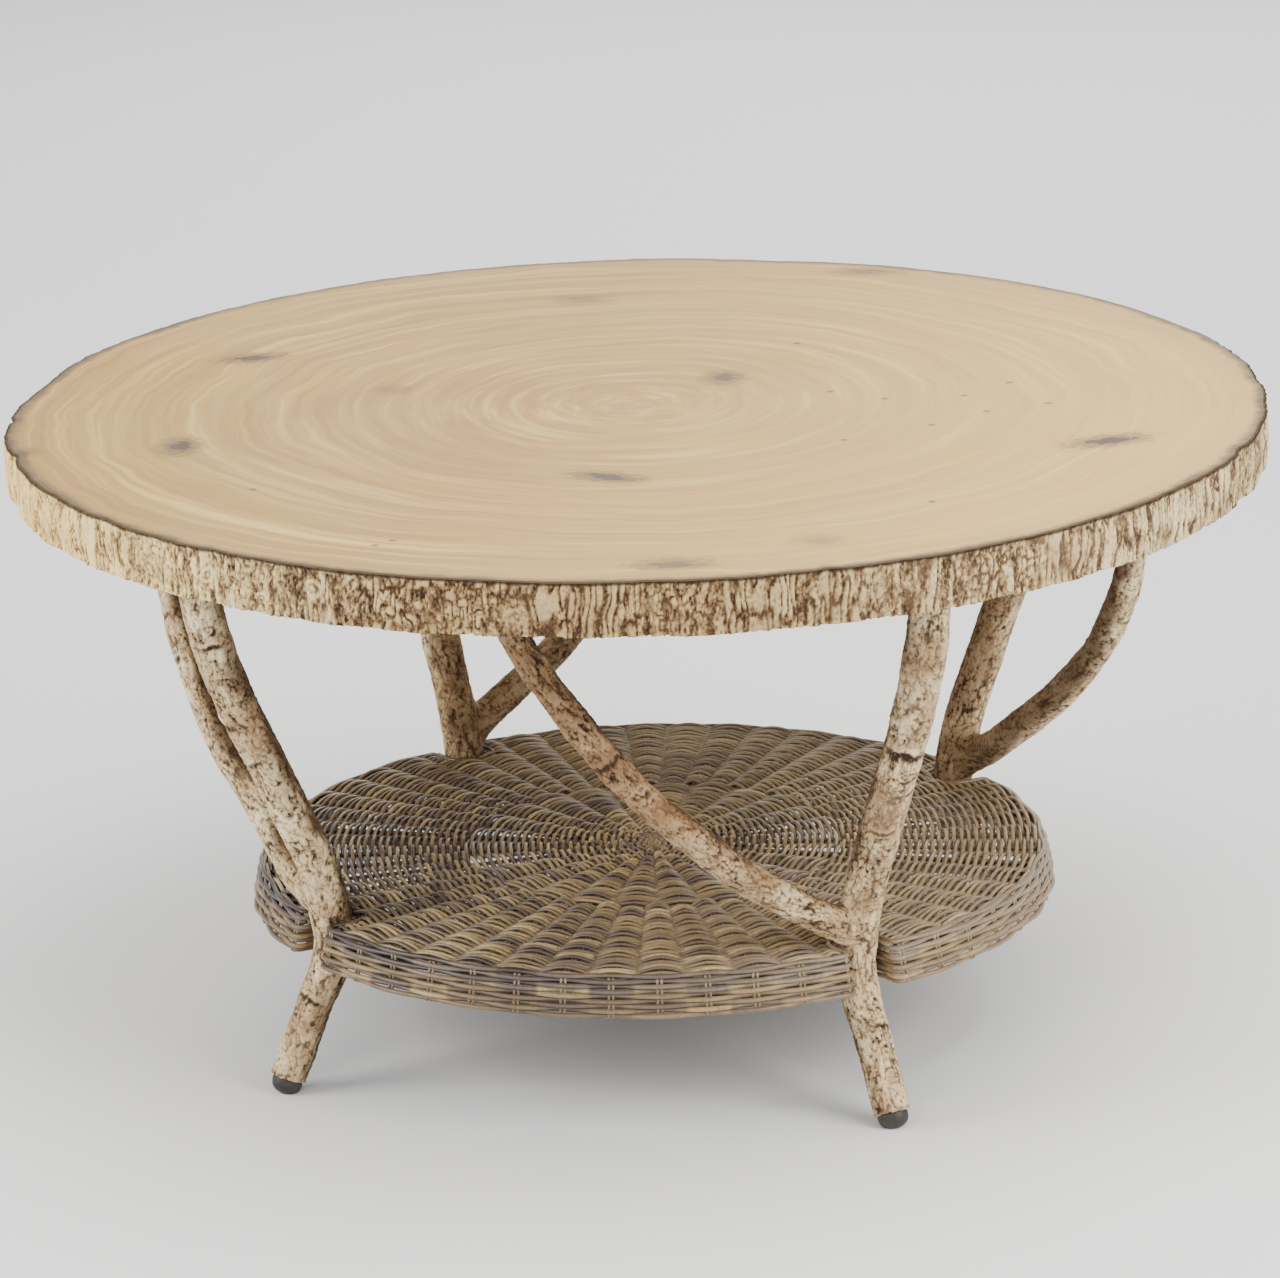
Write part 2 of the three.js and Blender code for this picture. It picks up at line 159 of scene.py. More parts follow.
def make_piece(name, points, faces, material, replaces, values=None):
    """A smooth mesh from points in metres and a list of face arrays, riding on the frame."""
    mesh = bpy.data.meshes.new(name)
    loops = np.concatenate([f.ravel() for f in faces])
    sizes = np.concatenate([np.full(len(f), f.shape[1]) for f in faces])
    mesh.vertices.add(len(points))
    set_points(mesh, points)
    mesh.loops.add(len(loops))
    mesh.loops.foreach_set("vertex_index", loops.astype(np.int32))
    mesh.polygons.add(len(sizes))
    mesh.polygons.foreach_set("loop_start", (np.cumsum(sizes) - sizes).astype(np.int32))
    mesh.update(calc_edges=True)
    mesh.polygons.foreach_set("use_smooth", np.full(len(sizes), True))
    set_values(mesh, values or {})
    mesh.materials.append(material)
    piece = add_object(name, mesh)
    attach(piece, "root")
    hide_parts(*replaces)


def grid_faces(rows, columns, closed=True):
    """Quads between rows of points. A closed grid joins each row's last point to its first."""
    across = np.arange(columns if closed else columns - 1)
    start = np.arange(rows - 1)[:, None] * columns
    a, b = start + across, start + (across + 1) % columns
    return np.stack([a, b, b + columns, a + columns], -1).reshape(-1, 4)


def tube(path, radius, sides, reference=UP, closed=False, squash=1.0):
    """Points and faces of a rod along path. squash thins it along the reference direction."""
    if closed:
        along = np.roll(path, -1, 0) - np.roll(path, 1, 0)
    else:
        along = np.gradient(path, axis=0)
    along = unit(along)
    side = unit(np.cross(along, reference))
    out = np.cross(side, along)
    turn = full_turn(sides)
    radius = np.broadcast_to(radius, len(path))[:, None, None]
    ring = out[:, None] * np.cos(turn)[:, None] * squash - side[:, None] * np.sin(turn)[:, None]
    points = (path[:, None] + ring * radius).reshape(-1, 3)
    if closed:
        return points, [np.concatenate([grid_faces(len(path), sides), wrap_faces(len(path), sides)])]
    first = np.arange(sides)[::-1][None]
    last = (len(path) - 1) * sides + np.arange(sides)[None]
    return points, [grid_faces(len(path), sides), first, last]


def wrap_faces(rows, sides):
    """Quads that join the last ring of a closed tube to its first."""
    a = (rows - 1) * sides + np.arange(sides)
    b = (rows - 1) * sides + (np.arange(sides) + 1) % sides
    return np.stack([a, b, b % sides, a % sides], -1)


ROD_SIDES = 6


class Bundle:
    """Collects many rods into one mesh, with values along each of them."""

    def __init__(self):
        self.points, self.faces, self.values, self.count = [], {}, {}, 0

    def rod(self, path, radius, reference=UP, closed=False, squash=1.0, **values):
        """Adds a rod. Each of values is one number, or one for each point of the path."""
        points, faces = tube(path, radius, ROD_SIDES, reference, closed, squash)
        for block in faces:
            self.faces.setdefault(block.shape[1], []).append(block + self.count)
        self.points.append(points)
        self.count += len(points)
        for key, value in values.items():
            each = np.repeat(np.broadcast_to(value, len(path)), ROD_SIDES)
            self.values.setdefault(key, []).append(each)

    def piece(self, name, slot, material, replaces, shift):
        faces = [np.concatenate(blocks) for blocks in self.faces.values()]
        values = {key: np.concatenate(parts) for key, parts in self.values.items()}
        make_piece(name, np.concatenate(self.points) + shift, faces, material, replaces, values)


# Node tools ----------


def srgb(colour):
    """A colour in 0 to 255 steps as linear numbers."""
    shares = [c / 255 for c in colour]
    return tuple(c / 12.92 if c <= 0.04045 else ((c + 0.055) / 1.055) ** 2.4 for c in shares)


class Nodes:
    """Short names for making nodes. A colour is given in 0 to 255 steps."""

    def __init__(self, tree):
        self.tree = tree

    def put(self, socket, value):
        if isinstance(value, bpy.types.NodeSocket):
            self.tree.links.new(value, socket)
        elif socket.type == "RGBA":
            socket.default_value = (*srgb(value), 1)
        else:
            socket.default_value = value

    def node(self, kind, *values, **inputs):
        """A node with its inputs set in order, by name, or as a property such as operation."""
        made = self.tree.nodes.new("ShaderNode" + kind)
        for key in [key for key in inputs if key[0].islower()]:
            setattr(made, key, inputs.pop(key))
        for socket, value in zip(made.inputs, values):
            self.put(socket, value)
        for key, value in inputs.items():
            self.put(made.inputs[key.replace("_", " ")], value)
        return made

    def place(self):
        return self.node("TexCoord").outputs["Object"]

    def axes(self, vector):
        return self.node("SeparateXYZ", Vector=vector).outputs

    def value(self, name):
        return self.node("Attribute", attribute_name=name).outputs["Fac"]

    def math(self, operation, a, b=0.0):
        return self.node("Math", a, b, operation=operation).outputs[0]

    def times(self, a, b):
        return self.math("MULTIPLY", a, b)

    def swing(self, value, amount):
        """A 0 to 1 value moved to lie about zero, and scaled."""
        return self.times(self.math("SUBTRACT", value, 0.5), amount)

    def vector(self, operation, a, b):
        return self.node("VectorMath", a, b, operation=operation).outputs[0]

    def noise(self, vector, scale, detail=3.0, roughness=0.5):
        made = self.node("TexNoise", Vector=vector, Scale=scale, Detail=detail, Roughness=roughness)
        return made.outputs["Fac"]

    def stretch(self, vector, scale):
        made = self.node("Mapping", Vector=vector, Scale=scale)
        return made.outputs["Vector"]

    def range(self, value, low, high, to_low=0.0, to_high=1.0):
        return self.node("MapRange", value, low, high, to_low, to_high).outputs["Result"]

    def ramp(self, value, stops):
        made = self.node("ValToRGB", Fac=value)
        steps = made.color_ramp.elements
        while len(steps) < len(stops):
            steps.new(0.5)
        for step, (place, colour) in zip(steps, stops):
            step.position = place
            step.color = (*srgb(colour), 1)
        return made.outputs["Color"]

    def mix(self, share, a, b, blend="MIX"):
        made = self.node("Mix", data_type="RGBA", blend_type=blend, Factor=share)
        self.put(made.inputs[6], a)
        self.put(made.inputs[7], b)
        return made.outputs[2]

    def coats(self, colour, *coats):
        """Colours laid over the first in turn: each coat's share, its colour and any blend."""
        for share, tint, *blend in coats:
            colour = self.mix(share, colour, tint, *blend)
        return colour


class Material(Nodes):
    """A material's nodes, with its steady values set on the shader's own sockets."""

    def __init__(self, name, roughness=0.6, metallic=0.0, specular=0.5):
        self.material = bpy.data.materials.new(name)
        self.material.use_nodes = True
        super().__init__(self.material.node_tree)
        self.shader = self.tree.nodes["Principled BSDF"]
        self.shader.inputs["Roughness"].default_value = roughness
        self.shader.inputs["Metallic"].default_value = metallic
        self.shader.inputs["Specular IOR Level"].default_value = specular

    def finish(self, colour, roughness, height, depth, strength):
        bump = self.node("Bump", Height=height, Distance=depth, Strength=strength)
        self.put(self.shader.inputs["Base Color"], colour)
        self.put(self.shader.inputs["Roughness"], roughness)
        self.put(self.shader.inputs["Normal"], bump.outputs["Normal"])
        return self.material


# Top ----------

panel_low, panel_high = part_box("top_panel")
rim_low, rim_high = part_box("bark_rim")
TOP_Z = panel_high.z
EDGE_RADIUS = rim_high.x - 1.2 * MM
BOX_LIMIT = rim_high.y - 0.1 * MM
FACE_COLUMNS = 1100
FACE_BACK = panel_low.z + 1 * MM - TOP_Z
EDGE_ROUND = 1.2 * MM
RIM_STEP = 1.0 * MM
RIM_ROWS = 46
RIM_INNER_RADIUS = 507 * MM
BARK_DEPTH = 2.6 * MM

# Chips and lumps in the edge: angle in degrees, half-width in degrees and depth in millimetres.
EDGE_MARKS = [(-155, 0.9, -3.5), (-167.6, 0.7, -3.5), (-161, 3.5, 2.2), (-8, 1.2, -3.0), (17, 2.0, -2.0),
              (-131, 1.2, -2.0), (-117, 1.6, -2.5), (-76, 1.5, -1.5), (-61, 1.0, -2.5), (-34, 1.4, -2.0)]


def edge_radius(angle):
    """Radius of the top's ragged outline at each angle."""
    ring = ring_points(angle, 1)
    radius = EDGE_RADIUS + 2.4 * MM * np.cos(angle - math.radians(150))
    radius += 1.2 * MM * octaves(ring * 14, 3, 5)
    radius += 0.8 * MM * octaves(ring * 75, 2, 9)
    for centre, width, depth in EDGE_MARKS:
        away = turn_between(np.degrees(angle), centre)
        radius += depth * MM * np.exp(-((away / width) ** 2))
    limit = BOX_LIMIT / np.maximum(np.abs(np.cos(angle)), np.abs(np.sin(angle))) - 3.8 * MM
    limit += 0.8 * MM * octaves(ring * 40, 3, 12)
    return np.minimum(radius, limit)


# Middle of the growth rings, in millimetres.
HEART = (-7, 6)

# Cracks and knots: middle x and y, turn in degrees, half-length and half-width in millimetres,
# darkness.
FACE_MARKS = [
    (-374, 116, 30, 40, 22, 1.0), (-352, -178, 8, 24, 40, 1.0), (-224, 26, 20, 24, 24, 0.45),
    (-133, 360, 5, 38, 30, 0.5), (52, 101, 13, 24, 34, 0.9), (25, -226, -12, 44, 20, 1.0),
    (412, -63, 34, 50, 24, 1.0), (103, 495, 10, 46, 22, 0.7), (133, -468, 16, 44, 24, 0.8),
    (233, -387, 13, 28, 26, 0.4), (-480, -215, 40, 22, 22, 0.7),
]
PIN_MARKS = [(91, 225), (152, 66), (203, 48), (258, -31), (194, -87), (299, 114), (268, 66),
             (296, 17), (343, 49), (300, -264), (-254, -300), (-112, -446), (-102, -431)]


def mark_group():
    """A node group that gives the darkness of one crack or knot around Middle."""
    group = bpy.data.node_groups.new("face_mark", "ShaderNodeTree")
    for name in ("Vector", "Middle", "Turn", "Size"):
        group.interface.new_socket(name, in_out="INPUT", socket_type="NodeSocketVector")
    group.interface.new_socket("Dark", in_out="INPUT", socket_type="NodeSocketFloat")
    group.interface.new_socket("Mark", in_out="OUTPUT", socket_type="NodeSocketFloat")
    given, out = group.nodes.new("NodeGroupInput").outputs, group.nodes.new("NodeGroupOutput")
    n = Nodes(group)
    local = n.vector("SUBTRACT", given["Vector"], given["Middle"])
    turned = n.node("VectorRotate", rotation_type="EULER_XYZ", Vector=local, Rotation=given["Turn"])
    turned = turned.outputs[0]
    scaled = n.vector("DIVIDE", turned, given["Size"])
    reach = n.node("VectorMath", scaled, operation="LENGTH").outputs["Value"]

    def streaks(scale, detail):
        return n.noise(n.stretch(turned, scale), 1.0, detail, 0.65)

    def soft(value, low, high):
        made = n.node("MapRange", value, low, high, interpolation_type="SMOOTHSTEP")
        return made.outputs["Result"]

    spread = n.times(streaks((60, 110, 1), 4.0), 2.0)
    core = soft(n.math("SUBTRACT", spread, n.times(reach, 1.9)), 0.0, 0.45)
    ticks = n.times(streaks((110, 420, 1), 3.0), 2.2)
    halo = n.times(soft(n.math("SUBTRACT", ticks, reach), 0.12, 0.6), 0.62)
    n.put(out.inputs["Mark"], n.times(n.math("MAXIMUM", core, halo), given["Dark"]))
    return group


def face_material():
    n = Material("faux_wood_face", roughness=0.5, specular=0.35)
    place = n.place()
    x, y, _ = n.axes(place)
    wander = n.noise(place, 3.2, 3, 0.55)
    ripple = n.noise(place, 14, 2, 0.5)
    x = n.math("SUBTRACT", x, HEART[0] * MM)
    y = n.math("SUBTRACT", y, HEART[1] * MM)
    reach = n.math("SQRT", n.math("ADD", n.times(x, x), n.times(y, y)))
    far = n.math("MAXIMUM", reach, 0.001)
    loose = n.range(reach, 0.0, 0.35, 0.012, 0.085)
    bent = n.math("ADD", reach, n.swing(wander, loose))
    bent = n.math("ADD", bent, n.swing(ripple, 0.007))
    ring_place = n.node("CombineXYZ", bent, n.math("DIVIDE", x, far), n.math("DIVIDE", y, far)).outputs[0]
    broad = n.noise(n.stretch(ring_place, (26, 0.8, 0.8)), 1.0, 2, 0.5)
    rings = n.noise(n.stretch(ring_place, (85, 1.0, 1.0)), 1.0, 3, 0.6)
    fine = n.noise(n.stretch(ring_place, (330, 3.0, 3.0)), 1.0, 3, 0.6)
    colour = n.ramp(
        rings,
        [(0.30, (152, 115, 48)), (0.43, (181, 142, 63)), (0.56, (194, 154, 70)),
         (0.70, (218, 185, 102))],
    )
    heart = n.range(reach, 0.0, 0.3, 1.0, 0.35)
    colour = n.coats(
        colour,
        (n.range(broad, 0.35, 0.65, 0, 0.7), (166, 128, 54)),
        (n.times(n.range(rings, 0.52, 0.40, 0.0, 0.75), heart), (146, 102, 56)),
        (n.times(n.range(rings, 0.56, 0.66, 0.0, 0.6), heart), (234, 206, 142)),
        (n.range(fine, 0.3, 0.75, 0.0, 0.28), (152, 114, 62)),
        (n.range(reach, 0.0, 0.05, 0.45, 0.0), (184, 128, 80)),
        (n.range(reach, 0.1, 0.42, 0.4, 0.0), (170, 131, 56)),
        (n.range(n.noise(place, 5, 4, 0.6), 0.4, 0.7, 0, 0.3), (176, 156, 88)),
        # Painted light: the face is lighter towards the right.
        (n.range(x, -0.1, 0.5, 0.0, 0.5), (240, 200, 118)),
    )

    group = mark_group()
    dark = None
    for mx, my, turn, length, width, strength in FACE_MARKS:
        middle, size = (mx * MM, my * MM, TOP_Z), (length * MM, width * MM, 1)
        made = n.node("Group", node_tree=group)
        for socket, value in zip(made.inputs, (place, middle, (0, 0, -math.radians(turn)), size, strength)):
            n.put(socket, value)
        mark = made.outputs["Mark"]
        dark = mark if dark is None else n.math("MAXIMUM", dark, mark)
    for px, py in PIN_MARKS:
        away = n.node("VectorMath", place, (px * MM, py * MM, TOP_Z), operation="DISTANCE")
        dark = n.math("MAXIMUM", dark, n.range(away.outputs["Value"], 0.0018, 0.0045, 0.75, 0.0))
    inset = n.value("inset")
    burn = n.math("ADD", inset, n.times(n.noise(place, 40, 4, 0.65), -0.015))
    colour = n.coats(
        colour,
        (dark, (70, 48, 34)),
        (n.range(burn, -0.0045, 0.0035, 0.95, 0.0), (36, 24, 17)),
        (n.range(inset, 0.0, 0.05, 0.3, 0.0), (144, 116, 74)),
    )
    height = n.math("SUBTRACT", n.times(rings, 0.5), dark)
    height = n.math("ADD", height, n.times(fine, 0.3))
    return n.finish(colour, n.range(fine, 0.2, 0.8, 0.42, 0.6), height, 0.0012, 0.35)


def make_face():
    """The faux-wood face: a disc with a ragged, rounded edge."""
    angle = full_turn(FACE_COLUMNS)
    outline = edge_radius(angle)
    shares = np.concatenate([np.linspace(0.004, 0.97, 60), np.linspace(0.975, 0.999, 9)])
    rings = [(outline * share, 0.0) for share in shares]
    for bend in np.arange(1, 5) / 4 * np.pi / 2:
        rings.append((outline - EDGE_ROUND * (1 - np.sin(bend)), -EDGE_ROUND * (1 - np.cos(bend))))
    side = [(0.8 * MM, -1.9 * MM), (4 * MM, -2.3 * MM), (4 * MM, FACE_BACK), (0.45, FACE_BACK)]
    rings += [(outline - inwards, level) for inwards, level in side]
    radius = np.array([ring[0] for ring in rings])
    drop = np.array([[ring[1]] for ring in rings])
    points = ring_points(angle, radius, TOP_Z + drop).reshape(-1, 3)
    sag = octaves(points * 9, 2, 3) * 0.35 * MM - 0.45 * MM
    points[:, 2] += np.where(points[:, 2] > TOP_Z - 2 * MM, np.minimum(sag, 0), 0)
    points[:, :2] = np.clip(points[:, :2], -BOX_LIMIT, BOX_LIMIT)
    front = np.arange(FACE_COLUMNS)[None]
    back = len(radius) * FACE_COLUMNS - 1 - front
    faces = [grid_faces(len(radius), FACE_COLUMNS)[:, ::-1], front, back]
    inset = {"inset": (outline - radius).ravel()}
    make_piece("face_wood", points, faces, face_material(), ["top_panel"], inset)


# Eyes in the bark: angle in degrees, height above the rim's lower edge and size in millimetres.
EYES = [(-117.2, 24, 12), (-111.5, 13, 7), (-105.5, 29, 8), (-88, 14, 8), (-62, 30, 7), (-24, 18, 8),
        (10, 24, 8), (48, 20, 9), (95, 26, 8), (140, 18, 9), (-175, 22, 8), (-143, 15, 7)]
# The radius, in millimetres, that sets the scale of the bark's pattern.
RIM_SIZE = 533


def rim_relief(angle, height):
    """Bark ridges in -1 to 1: upright wrinkles that wander, with eyes."""
    spot = ring_points(angle, RIM_SIZE, height / MM)
    swirl = np.stack([octaves(spot / 24, 2, seed) for seed in (21, 22, 23)], -1)
    warped = spot + swirl * (3.2, 3.2, 5)
    folds = np.minimum(2.8 * np.abs(noise(warped / (4.0, 4.0, 26), 31)), 1.3)
    crackle = 2.6 * np.abs(noise(warped / (3.4, 3.4, 8.5), 35))
    crackle = np.minimum(crackle, 2.4 * np.abs(noise(warped / (6.0, 6.0, 6.5) + 9, 32)) + 0.3)
    share = np.clip(0.78 + 1.6 * noise(spot / 75, 36), 0, 1)
    relief = folds * share + crackle * (1 - share) - 0.75
    relief += 0.42 * octaves(spot / (1.9, 1.9, 2.6), 2, 33)
    for centre, rise, size in EYES:
        across = np.radians(turn_between(np.degrees(angle), centre)) * RIM_SIZE
        away = np.hypot(across + swirl[:, 0] * 6, (height - rim_low.z) / MM - rise + swirl[:, 1] * 5)
        share = 0.7 * np.exp(-((away / size) ** 2))
        relief = relief * (1 - share) + share * (0.35 + 0.6 * np.cos(away * 1.1))
    return np.clip(relief, -1, 1)


def rim_material():
    n = Material("bark_rim", roughness=0.8, specular=0.25)
    place = n.place()
    relief = n.value("relief")
    grain = n.noise(n.stretch(place, (560, 560, 260)), 1.0, 4, 0.7)
    level = n.math("ADD", relief, n.swing(grain, 2.6))
    x, _, z = n.axes(place)
    # Painted light: the rim's pattern is lighter at its left end.
    level = n.math("ADD", level, n.range(x, -0.42, -0.15, 0.38, 0.0))
    colour = n.ramp(
        n.range(level, -1.05, 0.9),
        [(0.10, (42, 30, 22)), (0.30, (100, 80, 58)), (0.45, (158, 134, 98)),
         (0.62, (210, 188, 138)), (0.85, (248, 232, 184))],
    )
    # Painted light: a cream tint over the left end of the rim, white elsewhere.
    left_light_tint = n.mix(n.range(x, -0.42, -0.15), (255, 240, 204), (255, 255, 255))
    patch = n.range(n.noise(place, 16, 3, 0.6), 0.35, 0.6, 0.126, 0.378)
    # Painted shade across the front middle of the rim.
    front = n.times(n.range(x, -0.3, -0.05), n.range(x, 0.45, 0.2, 0.0, 0.62))
    ragged = n.swing(n.noise(place, 90, 3, 0.6), 0.004)
    colour = n.coats(
        colour,
        (1.0, left_light_tint, "MULTIPLY"),
        # Painted shade in noise patches, growing towards the right of the rim.
        (n.times(n.range(x, -0.35, 0.45), patch), (112, 84, 66)),
        (n.range(n.noise(place, 34, 4, 0.65), 0.46, 0.66, 0.0, 0.4), (140, 112, 78)),
        (front, (172, 150, 122), "MULTIPLY"),
        (n.range(n.math("ADD", z, ragged), TOP_Z - 0.0042, TOP_Z - 0.0022, 0.0, 0.92), (38, 26, 18)),
    )
    return n.finish(colour, n.range(level, -1, 1, 0.9, 0.65), grain, 0.0014, 0.7)


def make_rim():
    """Bark band round the top, with real ridges and a ragged lower edge."""
    columns = int(2 * np.pi * EDGE_RADIUS / RIM_STEP)
    angle = full_turn(columns)
    outline, ring = edge_radius(angle), ring_points(angle, 1)
    ragged = (0.4 + octaves(ring * 20, 3, 41)) * 1.3 * MM + np.abs(noise(ring * 150, 44)) * 1.5 * MM
    bottom = rim_low.z + np.clip(ragged, 0, 3.5 * MM)
    top = TOP_Z - 1.3 * MM
    rows = []
    for share in np.linspace(0, 1, RIM_ROWS):
        height = top + (bottom - top) * share
        belly = np.sin(share * np.pi) * 1.6 * MM - share * 0.6 * MM
        broad = noise(ring_points(angle, 22, height * 22), 47) * 1.0 * MM
        relief = rim_relief(angle, height)
        ease = min(1.0, share * 12, (1 - share) * 14 + 0.25)
        depth = BARK_DEPTH * (1 - relief) / 2 * ease
        rows.append((outline + 1.6 * MM + belly + broad * ease - depth, height, relief))
    lower_relief = rim_relief(angle, bottom) * 0.7 - 0.3
    for inwards, down in ((1.5, 0.6), (4.0, 0.9), (7.0, 0.4)):
        height = np.maximum(bottom - down * MM, rim_low.z)
        rows.append((outline - inwards * MM - 1.0 * MM, height, lower_relief))
    rows += [
        (RIM_INNER_RADIUS, bottom + 2 * MM, -0.6), (RIM_INNER_RADIUS, panel_low.z, -0.6),
        (outline - 2.5 * MM, panel_low.z, -0.6), (outline - 1.0 * MM, top, -0.6),
    ]
    radius, height, relief = (
        np.array([np.broadcast_to(value, columns) for value in values]) for values in zip(*rows)
    )
    points = ring_points(angle, radius, height).reshape(-1, 3)
    points[:, :2] = np.clip(points[:, :2], -BOX_LIMIT, BOX_LIMIT)
    faces = [grid_faces(len(rows), columns)[:, ::-1], wrap_faces(len(rows), columns)[:, ::-1]]
    values = {"relief": relief.ravel()}
    make_piece("rim_bark", points, faces, rim_material(), ["bark_rim"], values)


# Legs ----------

VOXEL = 1.25 * MM
PATH_STEP = 4 * MM
FORK_BLEND = 15 * MM
FORK_HEIGHT = 157 * MM
BARK_END = 12 * MM
STEM_FOOT_RADIUS, STEM_RADIUS = 15.3 * MM, 17.2 * MM
BRANCH_FORK_RADIUS, BRANCH_TOP_RADIUS = 14.0 * MM, 12.4 * MM
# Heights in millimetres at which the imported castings' middles are read.
STEM_LEVELS = np.array([45, 75, 105, 135, 170, 205, 245, 290, 335, 385, 430, 470, 500])
BRANCH_LEVELS = np.array([215, 235, 260, 290, 325, 365, 405, 445, 480, 505])


def turned(points, angle):
    """Points turned about the table's upright axis."""
    c, s = math.cos(angle), math.sin(angle)
    return points @ np.array([[c, s, 0], [-s, c, 0], [0, 0, 1]])


def cross_sections(node, levels):
    """The middle of a CAD node's cross-section at each level, in its leg's own plane."""
    mesh = nodes[node].data
    points = np.array([v.co for v in mesh.vertices])
    points = turned(points, -LEG_ANGLES[0])
    edges = np.array([e.vertices for e in mesh.edges])
    a, b = points[edges[:, 0]], points[edges[:, 1]]
    middles = []
    for level in levels:
        hit = (a[:, 2] - level) * (b[:, 2] - level) < 0
        share = ((level - a[hit, 2]) / (b[hit, 2] - a[hit, 2]))[:, None]
        crossing = a[hit] + share * (b[hit] - a[hit])
        middles.append((crossing.min(0) + crossing.max(0)) / 2)
    return np.array(middles)


def smooth_path(points, step):
    """A Catmull-Rom curve through points, resampled every step metres."""
    p = np.concatenate([[2 * points[0] - points[1]], points, [2 * points[-1] - points[-2]]])
    t = np.linspace(0, 1, 24, endpoint=False)[:, None]
    spans = []
    for a, b, c, d in zip(p, p[1:], p[2:], p[3:]):
        curve = 2 * b + (c - a) * t + (2 * a - 5 * b + 4 * c - d) * t**2
        spans.append(0.5 * (curve + (3 * b - a - 3 * c + d) * t**3))
    dense = np.concatenate(spans + [points[-1:]])
    length = lengths(dense)
    at = np.linspace(0, length[-1], max(3, int(length[-1] / step)))
    return np.stack([np.interp(at, length, dense[:, k]) for k in range(3)], -1)


def carried_on(path, height):
    """The point at this height on the straight line through the path's last two points."""
    return path[-1] + (path[-1] - path[-2]) * ((height - path[-1][2]) / (path[-1][2] - path[-2][2]))


def leg_paths():
    """Centre lines of stem and branch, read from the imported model."""
    _, stem_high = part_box("leg_stem_front_right")
    stem = cross_sections("leg_stem_front_right", STEM_LEVELS * MM)
    foot = stem[0] + (stem[0] - stem[1]) * ((stem[0][2] - BARK_END) / (stem[1][2] - stem[0][2]))
    stem = np.concatenate([[foot], stem, [carried_on(stem, stem_high.z)]])
    stem[:, 1] = 0
    branch = cross_sections("leg_branch_front_right", BRANCH_LEVELS * MM)
    root = np.interp(FORK_HEIGHT, stem[:, 2], stem[:, 0])
    start = np.array([[root, 0, FORK_HEIGHT], [root + 9.5 * MM, -40 * MM, FORK_HEIGHT + 22 * MM]])
    branch = np.concatenate([start, branch, [carried_on(branch, stem_high.z)]])
    return smooth_path(stem, PATH_STEP), smooth_path(branch, PATH_STEP)


def outward(path):
    return unit(path * (1, 1, 0))


def remeshed(points, faces):
    """One skin round rods that run into each other."""
    mesh = bpy.data.meshes.new("rods")
    mesh.from_pydata(points.tolist(), [], [f for block in faces for f in block.tolist()])
    holder = add_object("rods", mesh)
    skin = holder.modifiers.new("skin", "REMESH")
    skin.mode = "VOXEL"
    skin.voxel_size = VOXEL
    skin.adaptivity = 0
    bpy.context.view_layer.update()
    made = bpy.data.meshes.new_from_object(holder.evaluated_get(bpy.context.evaluated_depsgraph_get()))
    bpy.data.objects.remove(holder)
    bpy.data.meshes.remove(mesh)
    return made


def nearest(points, path):
    """For each point: the distance to the path, the length along it, and the way out from it."""
    length = lengths(path)
    distance = np.full(len(points), 1e9)
    along = np.zeros(len(points))
    foot = np.zeros_like(points)
    for i in range(len(path) - 1):
        a, b = path[i], path[i + 1]
        span = b - a
        t = np.clip((points - a) @ span / (span @ span), 0, 1)
        on = a + t[:, None] * span
        d = np.linalg.norm(points - on, axis=1)
        closer = d < distance
        distance[closer] = d[closer]
        along[closer] = (length[i] + t * (length[i + 1] - length[i]))[closer]
        foot[closer] = on[closer]
    return distance, along, unit(points - foot)


def stem_radius(along, total):
    share = np.clip(along / total / 0.35, 0, 1)
    share = share * share * (3 - 2 * share)
    return STEM_FOOT_RADIUS + (STEM_RADIUS - STEM_FOOT_RADIUS) * share


def branch_radius(along, total):
    return BRANCH_FORK_RADIUS + (BRANCH_TOP_RADIUS - BRANCH_FORK_RADIUS) * along / total


# Scars round the castings: on the stem (0) or branch (1), share of its length, depth in
# millimetres, half-width in millimetres, the side it faces in degrees and how far it runs round.
SCARS = [
    (0, 0.13, 0.9, 2.0, 40, 60), (0, 0.24, 0.7, 1.6, -60, 50), (0, 0.505, 0.6, 1.8, -30, 40),
    (0, 0.58, 0.7, 2.2, 30, 40), (0, 0.655, 1.4, 4.0, -30, 55), (0, 0.80, 0.9, 2.0, 60, 60),
    (1, 0.36, 0.9, 2.0, -60, 50), (1, 0.63, 1.0, 2.2, 0, 80),
]
# Knots: on the stem or branch, share of its length, the side it faces, radius in millimetres.
KNOTS = [(0, 0.70, -95, 10), (1, 0.205, 35, 9), (1, 0.55, 20, 10), (0, 0.47, 80, 8), (0, 0.86, 30, 8)]


def side_angle(way, path, along):
    """The angle round a rod, from the side that faces away from the table's axis."""
    length = lengths(path)
    tangent = unit(np.gradient(path, axis=0))
    side = unit(np.cross(tangent, outward(path)))
    out = np.cross(side, tangent)
    pick = np.clip(np.searchsorted(length, along), 0, len(path) - 1)
    return np.degrees(np.arctan2((way * side[pick]).sum(1), (way * out[pick]).sum(1)))


def rods_near(points, paths, totals):
    """The nearest spots on stem and branch to each point, and its height above their surfaces."""
    near = [nearest(points, path) for path in paths]
    rods = zip(near, (stem_radius, branch_radius), totals)
    return near, [spot[0] - radius(spot[1], total) for spot, radius, total in rods]


